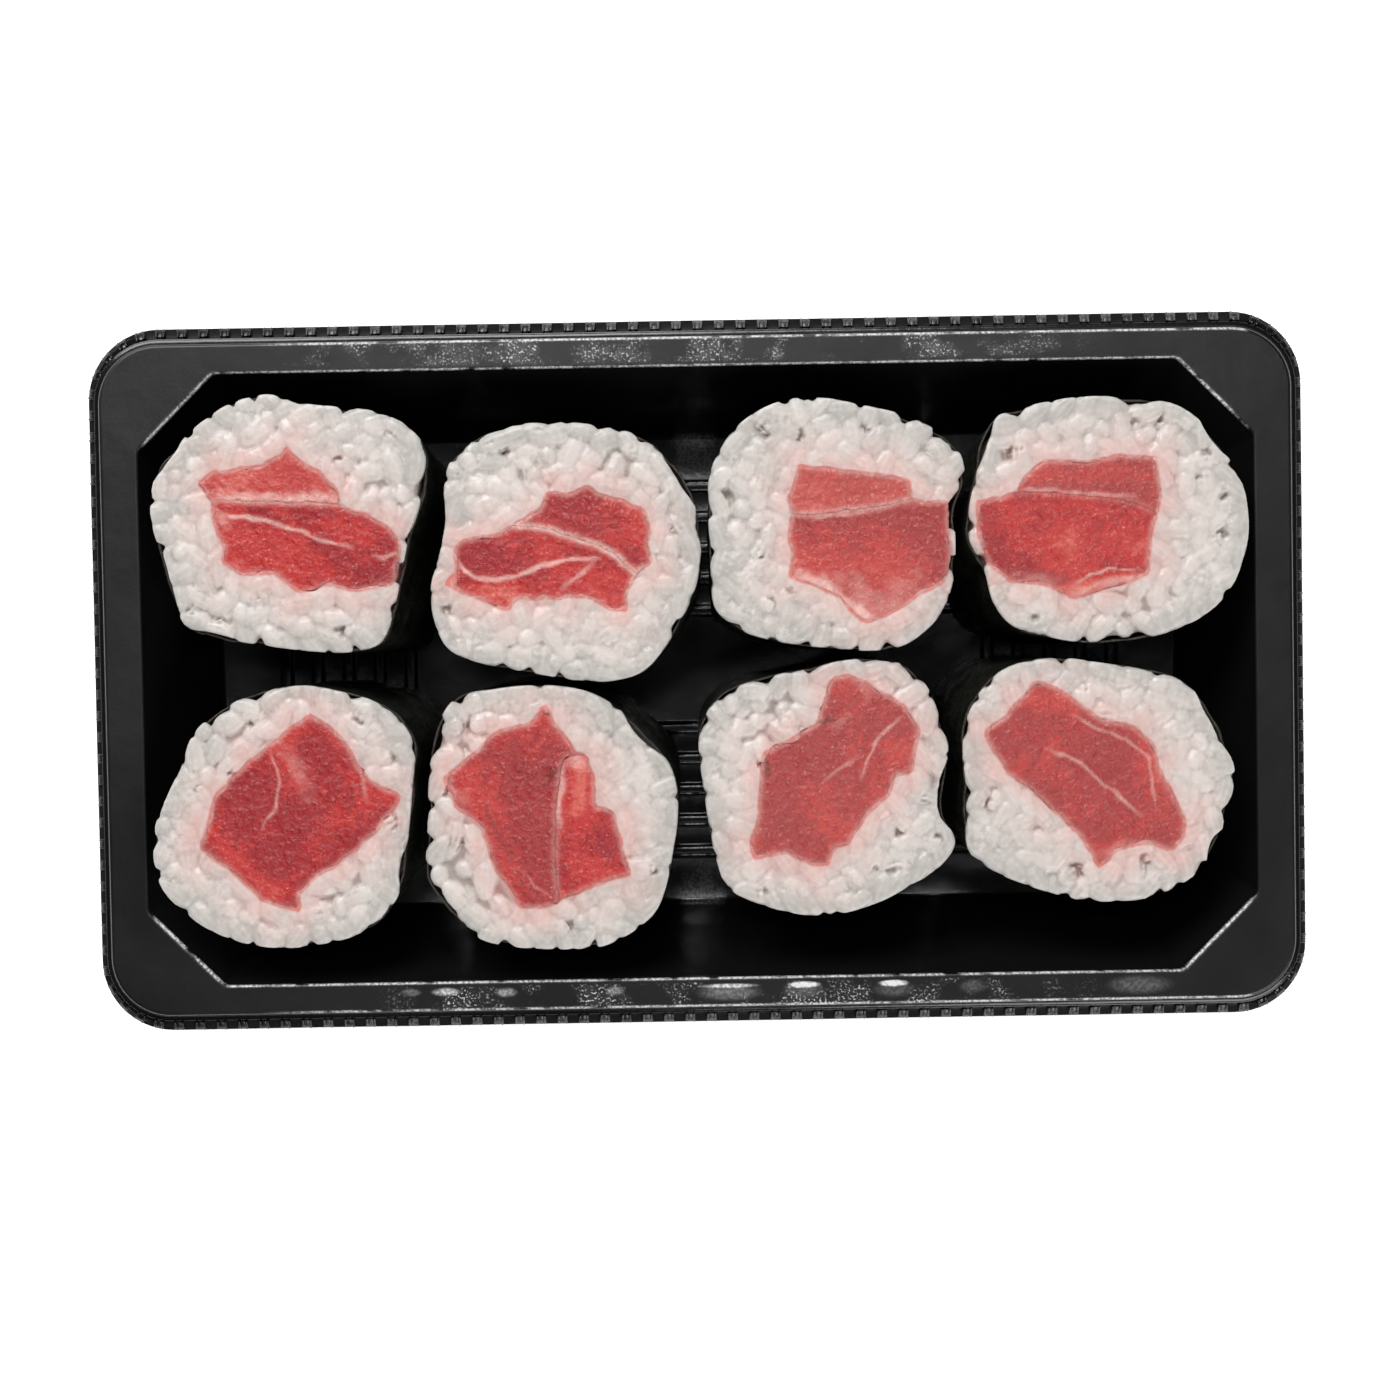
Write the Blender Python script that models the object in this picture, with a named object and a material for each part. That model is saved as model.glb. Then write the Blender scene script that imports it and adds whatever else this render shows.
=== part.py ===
"""Takeaway tray of eight thick tuna rolls, cut side up in two rows.

The tray is one thermoformed sheet: a floor with nested rectangular ribs, sloping walls, a flat raised
rim, a step down to a ledge and a narrow flange. Each roll is a skin of seaweed round pressed rice, with
cut tuna running through it from the bottom to the top. Metres, +Z up, origin under the tray's middle.
"""

import math
import random

import bmesh
import bpy
from mathutils import Matrix, Vector

MM = 0.001

# Tray, in millimetres. Half sizes run from the middle to the inside face of the sheet.
SHEET = 0.5
RIM_Z = 22.0
OPENING = (77.0, 42.5)
OPENING_CHAMFER = 10.5
FLOOR = (68.8, 33.3)
FLOOR_CHAMFER = 8.0
WALL_FOOT = 0.7
WALL_FOOT_RISE = 1.0
LIP = 0.4
LIP_DROP = 0.6
PLATFORM = (81.6, 45.9)
PLATFORM_RADIUS = 7.8
EDGE_ROUND = 0.45
STEP = (82.3, 46.6)
STEP_RADIUS = 8.3
STEP_DROP = 1.6
LEDGE = (82.9, 47.2)
LEDGE_RADIUS = 8.9
LEDGE_FALL = 0.1
FLANGE = (84.0, 48.8)
FLANGE_RADIUS = 10.0
FLANGE_DROP = 3.0
RIB_OUTER = (60.8, 27.4)
RIB_COUNT = 5
RIB_PITCH = 4.5
RIB_HEIGHT = 0.8
RIB_TOP_WIDTH = 1.15
RIB_FOOT_WIDTH = 1.75
RIB_CHAMFER = 1.2

# Rolls, in millimetres
GAP = 0.3
ROLL_BOTTOM = SHEET + RIB_HEIGHT + GAP
ROLL_TOP = 27.0
NORI_TOP = 26.0
NORI_INSET = 0.1
NORI_THICK = 0.35
RICE_INSET = NORI_INSET + NORI_THICK + 0.35
RICE_LIP = 0.2
RICE_SHOULDER = 0.6
RICE_CROWN = 1.9
TUNA_TOP = 27.3
SQUEEZE_X = 0.913
SQUEEZE_Y = 0.83
LOOP_POINTS = 26
STEPS_BETWEEN = 12
MOST_STRETCH = 0.55

# The grains that show, half sizes in millimetres
GRAIN = (2.9, 1.4, 1.25)
GRAIN_SINK = (-0.25, 0.1)
GRAIN_TILT = 0.12
GRAIN_SPACING = 3.1
GRAIN_RIM_CLEAR = 0.35
GRAIN_TUNA_CLEAR = 0.1
GRAINS_PER_ROLL = 29
GRAIN_TRIES = 6000

# Each roll's outline on its cut top, going round it, and the tuna's cut corners
ROLL_OUTLINES = {
    1: [(-60.4, 39), (-52, 37.5), (-44, 36.7), (-37.4, 33.2), (-36.7, 26), (-39, 18.9), (-40.9, 10.4),
        (-43.3, 4.6), (-50, 3.6), (-60.6, 4.9), (-69.1, 6.7), (-72.8, 14.1), (-74.2, 26.5), (-70, 33)],
    2: [(-20.4, 34.7), (-11.5, 33.8), (-5.7, 31.8), (-1.6, 26.9), (0.5, 20.6), (0.3, 13.3), (-2.6, 6.5),
        (-7.4, 0.4), (-13.7, -1), (-22.5, 0.3), (-33.7, 3.4), (-36.5, 11.2), (-34.4, 20), (-34, 28.6),
        (-29.3, 33.2)],
    3: [(14.8, 37.5), (7.6, 35.2), (2.7, 30), (1.4, 24.2), (1.6, 17), (2.4, 8.1), (9.2, 4.4), (17.5, 3.1),
        (26.6, 2.8), (32.7, 6.9), (35.2, 13.6), (35.2, 21.5), (36.8, 28.3), (31.5, 33.5), (23.9, 36)],
    4: [(54.6, 36.9), (46.3, 36), (39.8, 33.6), (37.9, 26.5), (36.6, 18.6), (39.7, 11.5), (40.7, 6.8),
        (48.6, 3.8), (57.2, 3.1), (66, 5.2), (72.3, 9.8), (75.2, 18.9), (72.8, 28.3), (65.8, 35.5)],
    5: [(-54.5, -0.5), (-48.5, -1.5), (-43, -3.5), (-39, -8), (-39, -13), (-40, -22.5), (-41, -28.5),
        (-45, -34), (-54, -36.5), (-62.5, -36), (-69, -33), (-74, -28), (-75, -20.5), (-71.5, -12.5),
        (-68.5, -6), (-62, -2)],
    6: [(-22.5, -1), (-17, -1.5), (-12, -3.5), (-7, -8.5), (-4, -12), (-3, -18), (-4, -25), (-6, -32),
        (-11, -36), (-17, -37.5), (-29, -36.5), (-34, -33), (-38, -27.5), (-37.5, -19), (-37, -10),
        (-34, -3), (-28.5, -1.5)],
    7: [(23.5, 1.8), (18.5, 1.5), (12.5, 0), (7.5, -0.5), (1.5, -4), (-0.5, -8.5), (0, -14), (1, -22),
        (3, -29), (7, -31.5), (15, -33.5), (22, -32.5), (26.5, -30.5), (32.5, -27), (34.8, -23.5),
        (33.2, -19.5), (33.8, -13), (33.8, -9), (32, -4.5), (29.5, 0.2)],
    8: [(48, 1.5), (53, 1), (59.5, 0), (65.5, -1.5), (70, -6.5), (73, -15), (71.5, -21.5), (69, -27),
        (64.5, -30.5), (59.5, -32), (51.5, -32), (46.5, -30.5), (40, -28), (36, -24.5), (36, -17),
        (35.5, -12), (36.5, -5.5), (41, 0)],
}
TUNA_OUTLINES = {
    "1a": [(-67.5, 27), (-65.5, 28.5), (-59, 29.2), (-56.4, 30.4), (-55.4, 32), (-54.5, 30.2), (-51, 28.3),
           (-48.3, 25), (-48.8, 24.4), (-56, 24.6), (-62.5, 24.9), (-66, 25)],
    "1b": [(-66, 24.3), (-56, 23.9), (-50, 23.6), (-45, 22.6), (-42, 20.8), (-40.2, 18.3), (-40.7, 15.8),
           (-41.4, 13), (-46, 12), (-50.6, 13), (-54, 11.8), (-57.4, 14.6), (-62, 14.6), (-64.5, 16.2),
           (-64, 18.5), (-65.3, 20.5)],
    "2a": [(-25, 21.5), (-21.2, 22.6), (-20.2, 25), (-17, 24.7), (-14.5, 26), (-13, 24.6), (-9.8, 23.8),
           (-7.3, 22.5), (-6.3, 19.6), (-6.8, 18), (-6.1, 15.4), (-7.8, 13.8), (-10.5, 16.4), (-13.3, 18),
           (-17, 19.2), (-20, 20.3), (-24, 20.8)],
    "2b": [(-24.5, 20.1), (-20.5, 19.6), (-17, 18.6), (-13.5, 17.4), (-11, 15.8), (-8.7, 13.2),
           (-9.8, 10.8), (-9.3, 8.5), (-12, 9), (-15, 10.6), (-24.7, 10.6), (-26, 8.8), (-28.9, 10.4),
           (-34.4, 12.8), (-32.6, 14.4), (-33.2, 17.2), (-32, 18.6), (-27, 19.5)],
    "3a": [(13.9, 28.2), (19.3, 27.4), (28.9, 25.9), (29.4, 23.6), (23.7, 22.6), (14.5, 21.8),
           (12.7, 22.2), (12.5, 24), (13.2, 25.2)],
    "3b": [(13, 21), (19, 21.2), (24, 21.7), (29.3, 22.7), (34.1, 22.9), (34.4, 17), (34.2, 13.8),
           (33.2, 11.6), (30.6, 10.7), (27.3, 8.2), (22.8, 6.5), (21.6, 7.3), (19.6, 10), (12.5, 12.9),
           (12.8, 16.9), (12.4, 18.7)],
    "4a": [(43.6, 25.3), (46.9, 27.9), (53.9, 27.9), (56.9, 28.8), (62.3, 28.5), (62.9, 24), (63, 21.2),
           (59.7, 22.9), (51.4, 23.8), (46.5, 24.3), (43.6, 24.4)],
    "4b": [(38.1, 22.7), (43.4, 23.6), (50, 23.2), (56, 22.6), (62.3, 20.6), (61.5, 17), (61.2, 12.5),
           (58.2, 11.4), (51, 9.4), (48.4, 10.9), (42.5, 12), (40.4, 13.4), (38.9, 15.6), (37.9, 18.6)],
    "5": [(-53, -4.5), (-49, -7.5), (-46.5, -12), (-44.5, -14), (-41, -15.7), (-42, -18), (-45, -21.3),
          (-48, -24), (-53, -27), (-55, -29), (-55, -31.5), (-60, -30), (-63.5, -26.5), (-68.5, -22.5),
          (-67, -18.5), (-66.5, -16), (-64, -13), (-57.5, -7.8)],
    "6a": [(-21, -3.5), (-20, -6.5), (-17.5, -9), (-15.3, -10.3), (-18.5, -10.4), (-19.8, -14),
           (-20.3, -18), (-20.4, -27), (-20.2, -31.3), (-25, -31.5), (-28.5, -26), (-30, -20.5),
           (-33.5, -17.5), (-35, -13.5), (-31, -10.5), (-28, -7.5), (-23.5, -6.5)],
    "6b": [(-18.3, -11.5), (-15.5, -11.3), (-14.5, -13.5), (-14.5, -18), (-12, -18.5), (-10.5, -25),
           (-9.5, -27.3), (-13, -28), (-17, -29.5), (-19.3, -31), (-19.7, -25), (-19.6, -19),
           (-18.9, -15)],
    "7": [(20, -0.5), (22.5, -1.5), (27.5, -4.5), (30, -8), (28.5, -14), (26.5, -14.3), (25.5, -17),
          (22.5, -19.5), (20, -23.5), (18, -24.2), (17, -26.5), (13.5, -25.8), (11.5, -24.5),
          (7, -25.5), (6.5, -23.5), (7.7, -19), (8, -14), (8.5, -11), (11.5, -9.5), (16, -7),
          (17, -3.5), (18, -1)],
    "8": [(38.5, -8.5), (41.5, -6.5), (45.5, -2), (47.5, -2), (50.5, -4), (54.5, -7), (59, -8),
          (61.5, -10.5), (62.5, -14), (66, -21), (65.5, -23.5), (64, -25), (60, -24), (56.5, -25),
          (54, -27.3), (51.5, -23), (45, -16.5), (41.5, -14)],
}


def clear_scene():
    for obj in list(bpy.data.objects):
        bpy.data.objects.remove(obj, do_unlink=True)


def material(name, color, roughness, specular=0.5):
    made = bpy.data.materials.new(name)
    made.use_nodes = True
    shader = made.node_tree.nodes["Principled BSDF"]
    shader.inputs["Base Color"].default_value = (*color, 1.0)
    shader.inputs["Roughness"].default_value = roughness
    shader.inputs["Metallic"].default_value = 0.0
    shader.inputs["Specular IOR Level"].default_value = specular
    return made


def add_object(name, bm, finish):
    mesh = bpy.data.meshes.new(name)
    bmesh.ops.recalc_face_normals(bm, faces=bm.faces)
    bm.to_mesh(mesh)
    bm.free()
    mesh.materials.append(finish)
    obj = bpy.data.objects.new(name, mesh)
    bpy.context.scene.collection.objects.link(obj)
    return obj


def signed_area(loop):
    pairs = zip(loop, loop[1:] + loop[:1])
    return sum(x0 * y1 - x1 * y0 for (x0, y0), (x1, y1) in pairs) / 2


def anticlockwise(loop):
    return list(loop) if signed_area(loop) > 0 else list(reversed(loop))


def smooth_loop(corners, count):
    """A closed curve through the corners, as evenly spaced points."""
    corners = [Vector(p) for p in anticlockwise(corners)]
    fine = []
    for i, start in enumerate(corners):
        before, end, after = corners[i - 1], corners[(i + 1) % len(corners)], corners[(i + 2) % len(corners)]
        for step in range(STEPS_BETWEEN):
            t = step / STEPS_BETWEEN
            bend = 2 * before - 5 * start + 4 * end - after
            twist = 3 * start - before - 3 * end + after
            fine.append(0.5 * (2 * start + (end - before) * t + bend * t**2 + twist * t**3))
    lengths = [(b - a).length for a, b in zip(fine, fine[1:] + fine[:1])]
    spacing = sum(lengths) / count
    points, walked, target = [], 0.0, 0.0
    for a, b, length in zip(fine, fine[1:] + fine[:1], lengths):
        while target < walked + length and len(points) < count:
            points.append(tuple(a.lerp(b, (target - walked) / length)))
            target += spacing
        walked += length
    return points


def inset(loop, distance):
    """The loop moved inwards by a distance, or outwards by a negative one, with its sharp corners limited."""
    moved = []
    for i, point in enumerate(loop):
        before = (Vector(point) - Vector(loop[i - 1])).normalized()
        after = (Vector(loop[(i + 1) % len(loop)]) - Vector(point)).normalized()
        inward = Vector((-before.y - after.y, before.x + after.x)).normalized()
        stretch = 1 / max(MOST_STRETCH, inward.dot(Vector((-after.y, after.x))))
        moved.append(tuple(Vector(point) + inward * distance * stretch))
    return moved


def inside(loop, point):
    x, y = point
    found = False
    for (x0, y0), (x1, y1) in zip(loop, loop[1:] + loop[:1]):
        if (y0 > y) != (y1 > y) and x < x0 + (y - y0) * (x1 - x0) / (y1 - y0):
            found = not found
    return found


def edge_distance(loop, point):
    point = Vector(point)
    nearest = math.inf
    for a, b in zip(loop, loop[1:] + loop[:1]):
        a, side = Vector(a), Vector(b) - Vector(a)
        along = min(1.0, max(0.0, (point - a).dot(side) / side.length_squared))
        nearest = min(nearest, (point - a - side * along).length)
    return nearest


def at_height(loop, z):
    """The loop at a height in metres: each roll narrows downwards, as the tray's walls do."""
    share = (z - ROLL_BOTTOM) / (ROLL_TOP - ROLL_BOTTOM)
    wide = SQUEEZE_X + (1 - SQUEEZE_X) * share
    deep = SQUEEZE_Y + (1 - SQUEEZE_Y) * share
    return [Vector((x * wide, y * deep, z)) * MM for x, y in loop]


def loft(rings):
    """A closed solid between rings of the same number of points, capped at both ends."""
    bm = bmesh.new()
    rows = [[bm.verts.new(p) for p in ring] for ring in rings]
    count = len(rows[0])
    for low, high in zip(rows, rows[1:]):
        for i in range(count):
            j = (i + 1) % count
            bm.faces.new((low[i], low[j], high[j], high[i]))
    bm.faces.new(reversed(rows[0]))
    bm.faces.new(rows[-1])
    return bm


def keep_largest_body(obj):
    """Drops a loose scrap that a cut leaves beside the main body."""
    bm = bmesh.new()
    bm.from_mesh(obj.data)
    unseen = set(bm.verts)
    bodies = []
    while unseen:
        body, front = set(), [unseen.pop()]
        while front:
            vert = front.pop()
            body.add(vert)
            for edge in vert.link_edges:
                other = edge.other_vert(vert)
                if other in unseen:
                    unseen.discard(other)
                    front.append(other)
        bodies.append(body)
    largest = max(bodies, key=len)
    bmesh.ops.delete(bm, geom=[v for body in bodies if body is not largest for v in body], context="VERTS")
    bm.to_mesh(obj.data)
    bm.free()


def apply_modifiers(obj):
    bpy.context.view_layer.update()
    result = bpy.data.meshes.new_from_object(obj.evaluated_get(bpy.context.evaluated_depsgraph_get()))
    obj.modifiers.clear()
    obj.data = result


def apply_boolean(obj, operation, target=None, group=None):
    modifier = obj.modifiers.new(operation.title(), "BOOLEAN")
    modifier.operation = operation
    modifier.solver = "EXACT"
    if group:
        modifier.operand_type = "COLLECTION"
        modifier.collection = group
    else:
        modifier.object = target
    apply_modifiers(obj)


def grown(half, by):
    return half[0] + by, half[1] + by


def chamfered_ring(half, chamfer, z, blend=0.12):
    """A rectangle with cut corners, each cut eased by a short facet at both ends: sixteen points."""
    hx, hy = half
    corner = [(hx, hy - chamfer * (1 + blend)), (hx - chamfer * blend, hy - chamfer * (1 - blend)),
              (hx - chamfer * (1 - blend), hy - chamfer * blend), (hx - chamfer * (1 + blend), hy)]
    return mirrored_corners(corner, z)


def rounded_ring(half, radius, z):
    """A rectangle with round corners, in the same order of sixteen points."""
    hx, hy = half
    corner = [(hx - radius + radius * math.cos(a), hy - radius + radius * math.sin(a))
              for a in (math.radians(30 * step) for step in range(4))]
    return mirrored_corners(corner, z)


def mirrored_corners(corner, z):
    back = corner[::-1]
    outline = corner + [(-x, y) for x, y in back] + [(-x, -y) for x, y in corner] + [(x, -y) for x, y in back]
    return [Vector((x, y, z)) * MM for x, y in outline]


def rib_ring(half, z):
    hx, hy = half
    cut = RIB_CHAMFER
    corner = [(hx, hy - cut), (hx - cut, hy)]
    return mirrored_corners(corner, z)


def build_tray():
    rings = [
        rounded_ring(FLANGE, FLANGE_RADIUS, RIM_Z - FLANGE_DROP),
        rounded_ring(LEDGE, LEDGE_RADIUS, RIM_Z - STEP_DROP - LEDGE_FALL),
        rounded_ring(STEP, STEP_RADIUS, RIM_Z - STEP_DROP),
        rounded_ring(grown(PLATFORM, EDGE_ROUND), PLATFORM_RADIUS + EDGE_ROUND, RIM_Z - EDGE_ROUND),
        rounded_ring(PLATFORM, PLATFORM_RADIUS, RIM_Z),
        chamfered_ring(OPENING, OPENING_CHAMFER, RIM_Z),
        chamfered_ring(grown(OPENING, -LIP), OPENING_CHAMFER, RIM_Z - LIP_DROP),
        chamfered_ring(grown(FLOOR, WALL_FOOT), FLOOR_CHAMFER, SHEET + WALL_FOOT_RISE),
        chamfered_ring(FLOOR, FLOOR_CHAMFER, SHEET),
    ]
    bm = bmesh.new()
    rows = [[bm.verts.new(p) for p in ring] for ring in rings]
    for outer, inner in zip(rows, rows[1:]):
        bridge(bm, outer, inner)
    border = rows[-1]
    slope = (RIB_FOOT_WIDTH - RIB_TOP_WIDTH) / 2
    for number in range(RIB_COUNT):
        hx, hy = (side - number * RIB_PITCH for side in RIB_OUTER)
        steps = [(0, SHEET), (slope, SHEET + RIB_HEIGHT), (slope + RIB_TOP_WIDTH, SHEET + RIB_HEIGHT),
                 (RIB_FOOT_WIDTH, SHEET)]
        rib = [[bm.verts.new(p) for p in rib_ring((hx - back, hy - back), z)] for back, z in steps]
        if number == 0:
            fill_between(bm, border, rib[0])
        else:
            bridge(bm, border, rib[0])
        for outer, inner in zip(rib, rib[1:]):
            bridge(bm, outer, inner)
        border = rib[-1]
    bm.faces.new(border)
    tray = add_object("tray", bm, material("black sheet", (0.012, 0.012, 0.013), 0.28))
    if tray.data.polygons[0].normal.z < 0:
        tray.data.flip_normals()
    wall = tray.modifiers.new("Sheet thickness", "SOLIDIFY")
    wall.thickness = SHEET * MM
    wall.offset = -1
    wall.use_even_offset = True
    apply_modifiers(tray)
    for vert in tray.data.vertices:
        if vert.co.z < SHEET / 2 * MM:
            vert.co.z = 0.0
    return tray


def bridge(bm, outer, inner):
    count = len(outer)
    for i in range(count):
        j = (i + 1) % count
        bm.faces.new((outer[i], outer[j], inner[j], inner[i]))


def fill_between(bm, outer, inner):
    """The flat border between the sixteen-point floor edge and the eight-point rib, corner by corner."""
    for corner in range(4):
        a, b, c, d = outer[corner * 4:corner * 4 + 4]
        e, f = inner[corner * 2:corner * 2 + 2]
        for face in ((a, b, e), (b, c, f, e), (c, d, f)):
            bm.faces.new(face)
        bm.faces.new((d, outer[(corner * 4 + 4) % 16], inner[(corner * 2 + 2) % 8], f))


def build_nori(number, outline, finish):
    outer = inset(outline, NORI_INSET)
    inner = inset(outline, NORI_INSET + NORI_THICK)
    bm = bmesh.new()
    rings = [at_height(outer, ROLL_BOTTOM), at_height(outer, NORI_TOP),
             at_height(inner, NORI_TOP), at_height(inner, ROLL_BOTTOM)]
    rows = [[bm.verts.new(p) for p in ring] for ring in rings]
    for first, second in zip(rows, rows[1:] + rows[:1]):
        bridge(bm, first, second)
    return add_object(f"nori_{number}", bm, finish)


def build_tuna(name, corners, finish):
    corners = anticlockwise(corners)
    rings = [at_height(corners, ROLL_BOTTOM + GAP), at_height(corners, TUNA_TOP)]
    return add_object(f"tuna_{name}", loft(rings), finish)


def grain_places(number, outline, tuna):
    """Evenly spread places for the grains that show on one roll: middle and turn."""
    draw = random.Random(40 + number)
    holes = [inset(anticlockwise(corners), -GAP) for corners in tuna]
    xs, ys = [x for x, _ in outline], [y for _, y in outline]
    places = []
    for _ in range(GRAIN_TRIES):
        middle = Vector((draw.uniform(min(xs), max(xs)), draw.uniform(min(ys), max(ys))))
        turn = draw.uniform(0, math.pi)
        if len(places) == GRAINS_PER_ROLL or any((middle - m).length < GRAIN_SPACING for m, _ in places):
            continue
        rim = [middle + Matrix.Rotation(turn, 2) @ Vector((GRAIN[0] * math.cos(a), GRAIN[1] * math.sin(a)))
               for a in (math.radians(30 * step) for step in range(12))]
        fits = all(inside(outline, p) and edge_distance(outline, p) > GRAIN_RIM_CLEAR for p in rim)
        clear = all(not inside(hole, p) and edge_distance(hole, p) > GRAIN_TUNA_CLEAR
                    for hole in holes for p in [middle, *rim])
        if fits and clear and not any(inside(rim, p) for hole in holes for p in hole):
            places.append((middle, turn))
    return places


def grain_shape():
    """A grain of unit half sizes: a long hexagon round the middle and a short ridge above and below."""
    points = [(1, 0, 0), (-1, 0, 0)]
    points += [(x, y, 0) for x in (-0.55, 0.55) for y in (-0.95, 0.95)]
    points += [(x, 0, z) for x in (-0.5, 0.5) for z in (-1, 1)]
    bm = bmesh.new()
    for point in points:
        bm.verts.new(point)
    bmesh.ops.convex_hull(bm, input=bm.verts)
    return bm


def build_rice(number, outline, tuna, finish):
    body = inset(outline, RICE_INSET)
    rings = [at_height(body, ROLL_BOTTOM + GAP), at_height(body, NORI_TOP + 0.1),
             at_height(inset(outline, RICE_LIP), NORI_TOP + 0.6),
             at_height(inset(outline, RICE_SHOULDER), ROLL_TOP - 0.1),
             at_height(inset(outline, RICE_CROWN), ROLL_TOP)]
    rice = add_object(f"rice_{number}", loft(rings), finish)
    for corners in tuna:
        hole = inset(anticlockwise(corners), -GAP)
        cutter = add_object("cutter", loft([at_height(hole, 0.0), at_height(hole, ROLL_TOP + 3)]), finish)
        apply_boolean(rice, "DIFFERENCE", target=cutter)
        bpy.data.objects.remove(cutter, do_unlink=True)
    keep_largest_body(rice)
    grains = bpy.data.collections.new("grains")
    bpy.context.scene.collection.children.link(grains)
    draw = random.Random(80 + number)
    for middle, turn in grain_places(number, outline, tuna):
        bm = grain_shape()
        tilt = Matrix.Rotation(draw.uniform(-GRAIN_TILT, GRAIN_TILT), 4, "Y")
        size = Matrix.Diagonal((*GRAIN, 1 / MM)).to_4x4() * MM
        place = Matrix.Translation(Vector((*middle, ROLL_TOP + draw.uniform(*GRAIN_SINK))) * MM)
        bm.transform(place @ Matrix.Rotation(turn, 4, "Z") @ tilt @ size)
        grain = add_object("grain", bm, finish)
        bpy.context.scene.collection.objects.unlink(grain)
        grains.objects.link(grain)
    apply_boolean(rice, "UNION", group=grains)
    for grain in list(grains.objects):
        bpy.data.objects.remove(grain, do_unlink=True)
    bpy.data.collections.remove(grains)
    keep_largest_body(rice)
    return rice


def main():
    clear_scene()
    build_tray()
    nori_finish = material("seaweed", (0.012, 0.016, 0.011), 0.35)
    rice_finish = material("pressed rice", (0.75, 0.70, 0.66), 0.4)
    tuna_finish = material("raw tuna", (0.45, 0.05, 0.05), 0.3)
    for number, corners in ROLL_OUTLINES.items():
        outline = smooth_loop(corners, LOOP_POINTS)
        tuna = {name: cut for name, cut in TUNA_OUTLINES.items() if name.startswith(str(number))}
        build_nori(number, outline, nori_finish)
        build_rice(number, outline, list(tuna.values()), rice_finish)
        for name, cut in tuna.items():
            build_tuna(name, cut, tuna_finish)


main()
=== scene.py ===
"""Looks of the takeaway tray with eight thick tuna rolls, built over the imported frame."""

import functools
import math

import bmesh
import bpy
import numpy as np
from mathutils import Matrix, Vector, kdtree, noise
from mathutils.geometry import delaunay_2d_cdt


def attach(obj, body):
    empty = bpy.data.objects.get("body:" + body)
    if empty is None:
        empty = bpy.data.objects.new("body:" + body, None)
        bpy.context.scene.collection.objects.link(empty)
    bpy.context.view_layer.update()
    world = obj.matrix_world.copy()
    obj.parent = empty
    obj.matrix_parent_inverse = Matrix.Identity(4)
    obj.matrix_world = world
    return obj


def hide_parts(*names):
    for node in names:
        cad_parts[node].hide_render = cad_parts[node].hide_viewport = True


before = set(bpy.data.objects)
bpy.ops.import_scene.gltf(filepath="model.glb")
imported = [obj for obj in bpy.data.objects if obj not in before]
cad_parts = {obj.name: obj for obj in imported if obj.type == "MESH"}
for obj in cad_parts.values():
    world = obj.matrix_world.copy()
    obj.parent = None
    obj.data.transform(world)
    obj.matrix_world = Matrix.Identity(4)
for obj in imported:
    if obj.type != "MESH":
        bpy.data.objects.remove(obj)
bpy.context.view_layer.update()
MM = 0.001

# The tray is one thin sheet of black plastic, drawn warm over a mould: a floor with nested ribs, sloping
# walls, a flat rim, a step down to a ledge, and a narrow flange with a crimped edge that grips a lid.
SHEET = 0.5
RIM_Z = 22.0
OPENING, OPENING_CUT = (77.0, 42.5), 10.5
LIP, LIP_DROP = 0.4, 0.6
FLOOR, FLOOR_CUT = (68.8, 33.3), 8.0
WALL_FOOT, WALL_FOOT_RISE = 0.7, 1.0
PLATFORM, PLATFORM_RADIUS, EDGE_ROUND = (81.6, 45.9), 7.8, 0.45
STEP, STEP_RADIUS, STEP_DROP = (82.3, 46.6), 8.3, 1.6
LEDGE, LEDGE_RADIUS, LEDGE_FALL = (82.9, 47.2), 8.9, 0.1
FLANGE, FLANGE_RADIUS, FLANGE_Z = (83.9, 48.7), 9.9, 19.05
RIB_OUTER, RIB_COUNT, RIB_PITCH = (60.8, 27.4), 5, 4.5
RIB_HEIGHT, RIB_TOP_WIDTH, RIB_FOOT_WIDTH, RIB_CUT, RIB_EASE = 0.8, 1.15, 1.75, 1.2, 0.8
CORNER_STEPS = 7
SIDE_STEPS = (40, 24)
QUARTER_TURN = np.radians([0, 22.5, 45, 67.5, 90])
WAVES, WALL_WAVE, RIM_WAVE = (0.07, 0.07, 0.04), 0.0006, 0.05
CRIMP_PITCHES, CRIMP_WEAR_AND_SHINE = 173, 0.12
CRIMP_LINE, CRIMP_RADIUS, CRIMP_Z = (83.98, 48.78), 9.98, 19.9
CRIMP_INSET, CRIMP_LEAN = 1.32, 0.78
SHEET_BLACK = (0.0065, 0.0065, 0.007)
RIM_BLACK = (0.007, 0.007, 0.0075)
# Pale grey of the scuffs and wear, and of the painted shine, glints and reflections on the sheet
SCUFF_AND_SHINE_GREY = (0.85, 0.85, 0.86)
# Where the scuffs with their painted glints, and the wear with the painted shine on edges, start and end,
# each from 0 to full
BAND_FRONT, BAND_LEFT, BAND_RIGHT, FRONT_LEFT = (42.6, 43.2), (-58, -46), (58, 32), -12
NO_SHINE_OR_WEAR_SIDE, NO_SHINE_OR_WEAR_OUTER, NO_SHINE_OR_WEAR_LEFT = (75.3, 76.3), (44.6, 45.2), (-50, -62)
RIB_LEVEL, RIB_SHINE_AND_WEAR_HALF = (4, 3), (2.0, 3.6)
DULL_FRONT, DULL_SIDE = (47.3, 47.6), (82.6, 82.9)
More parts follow.
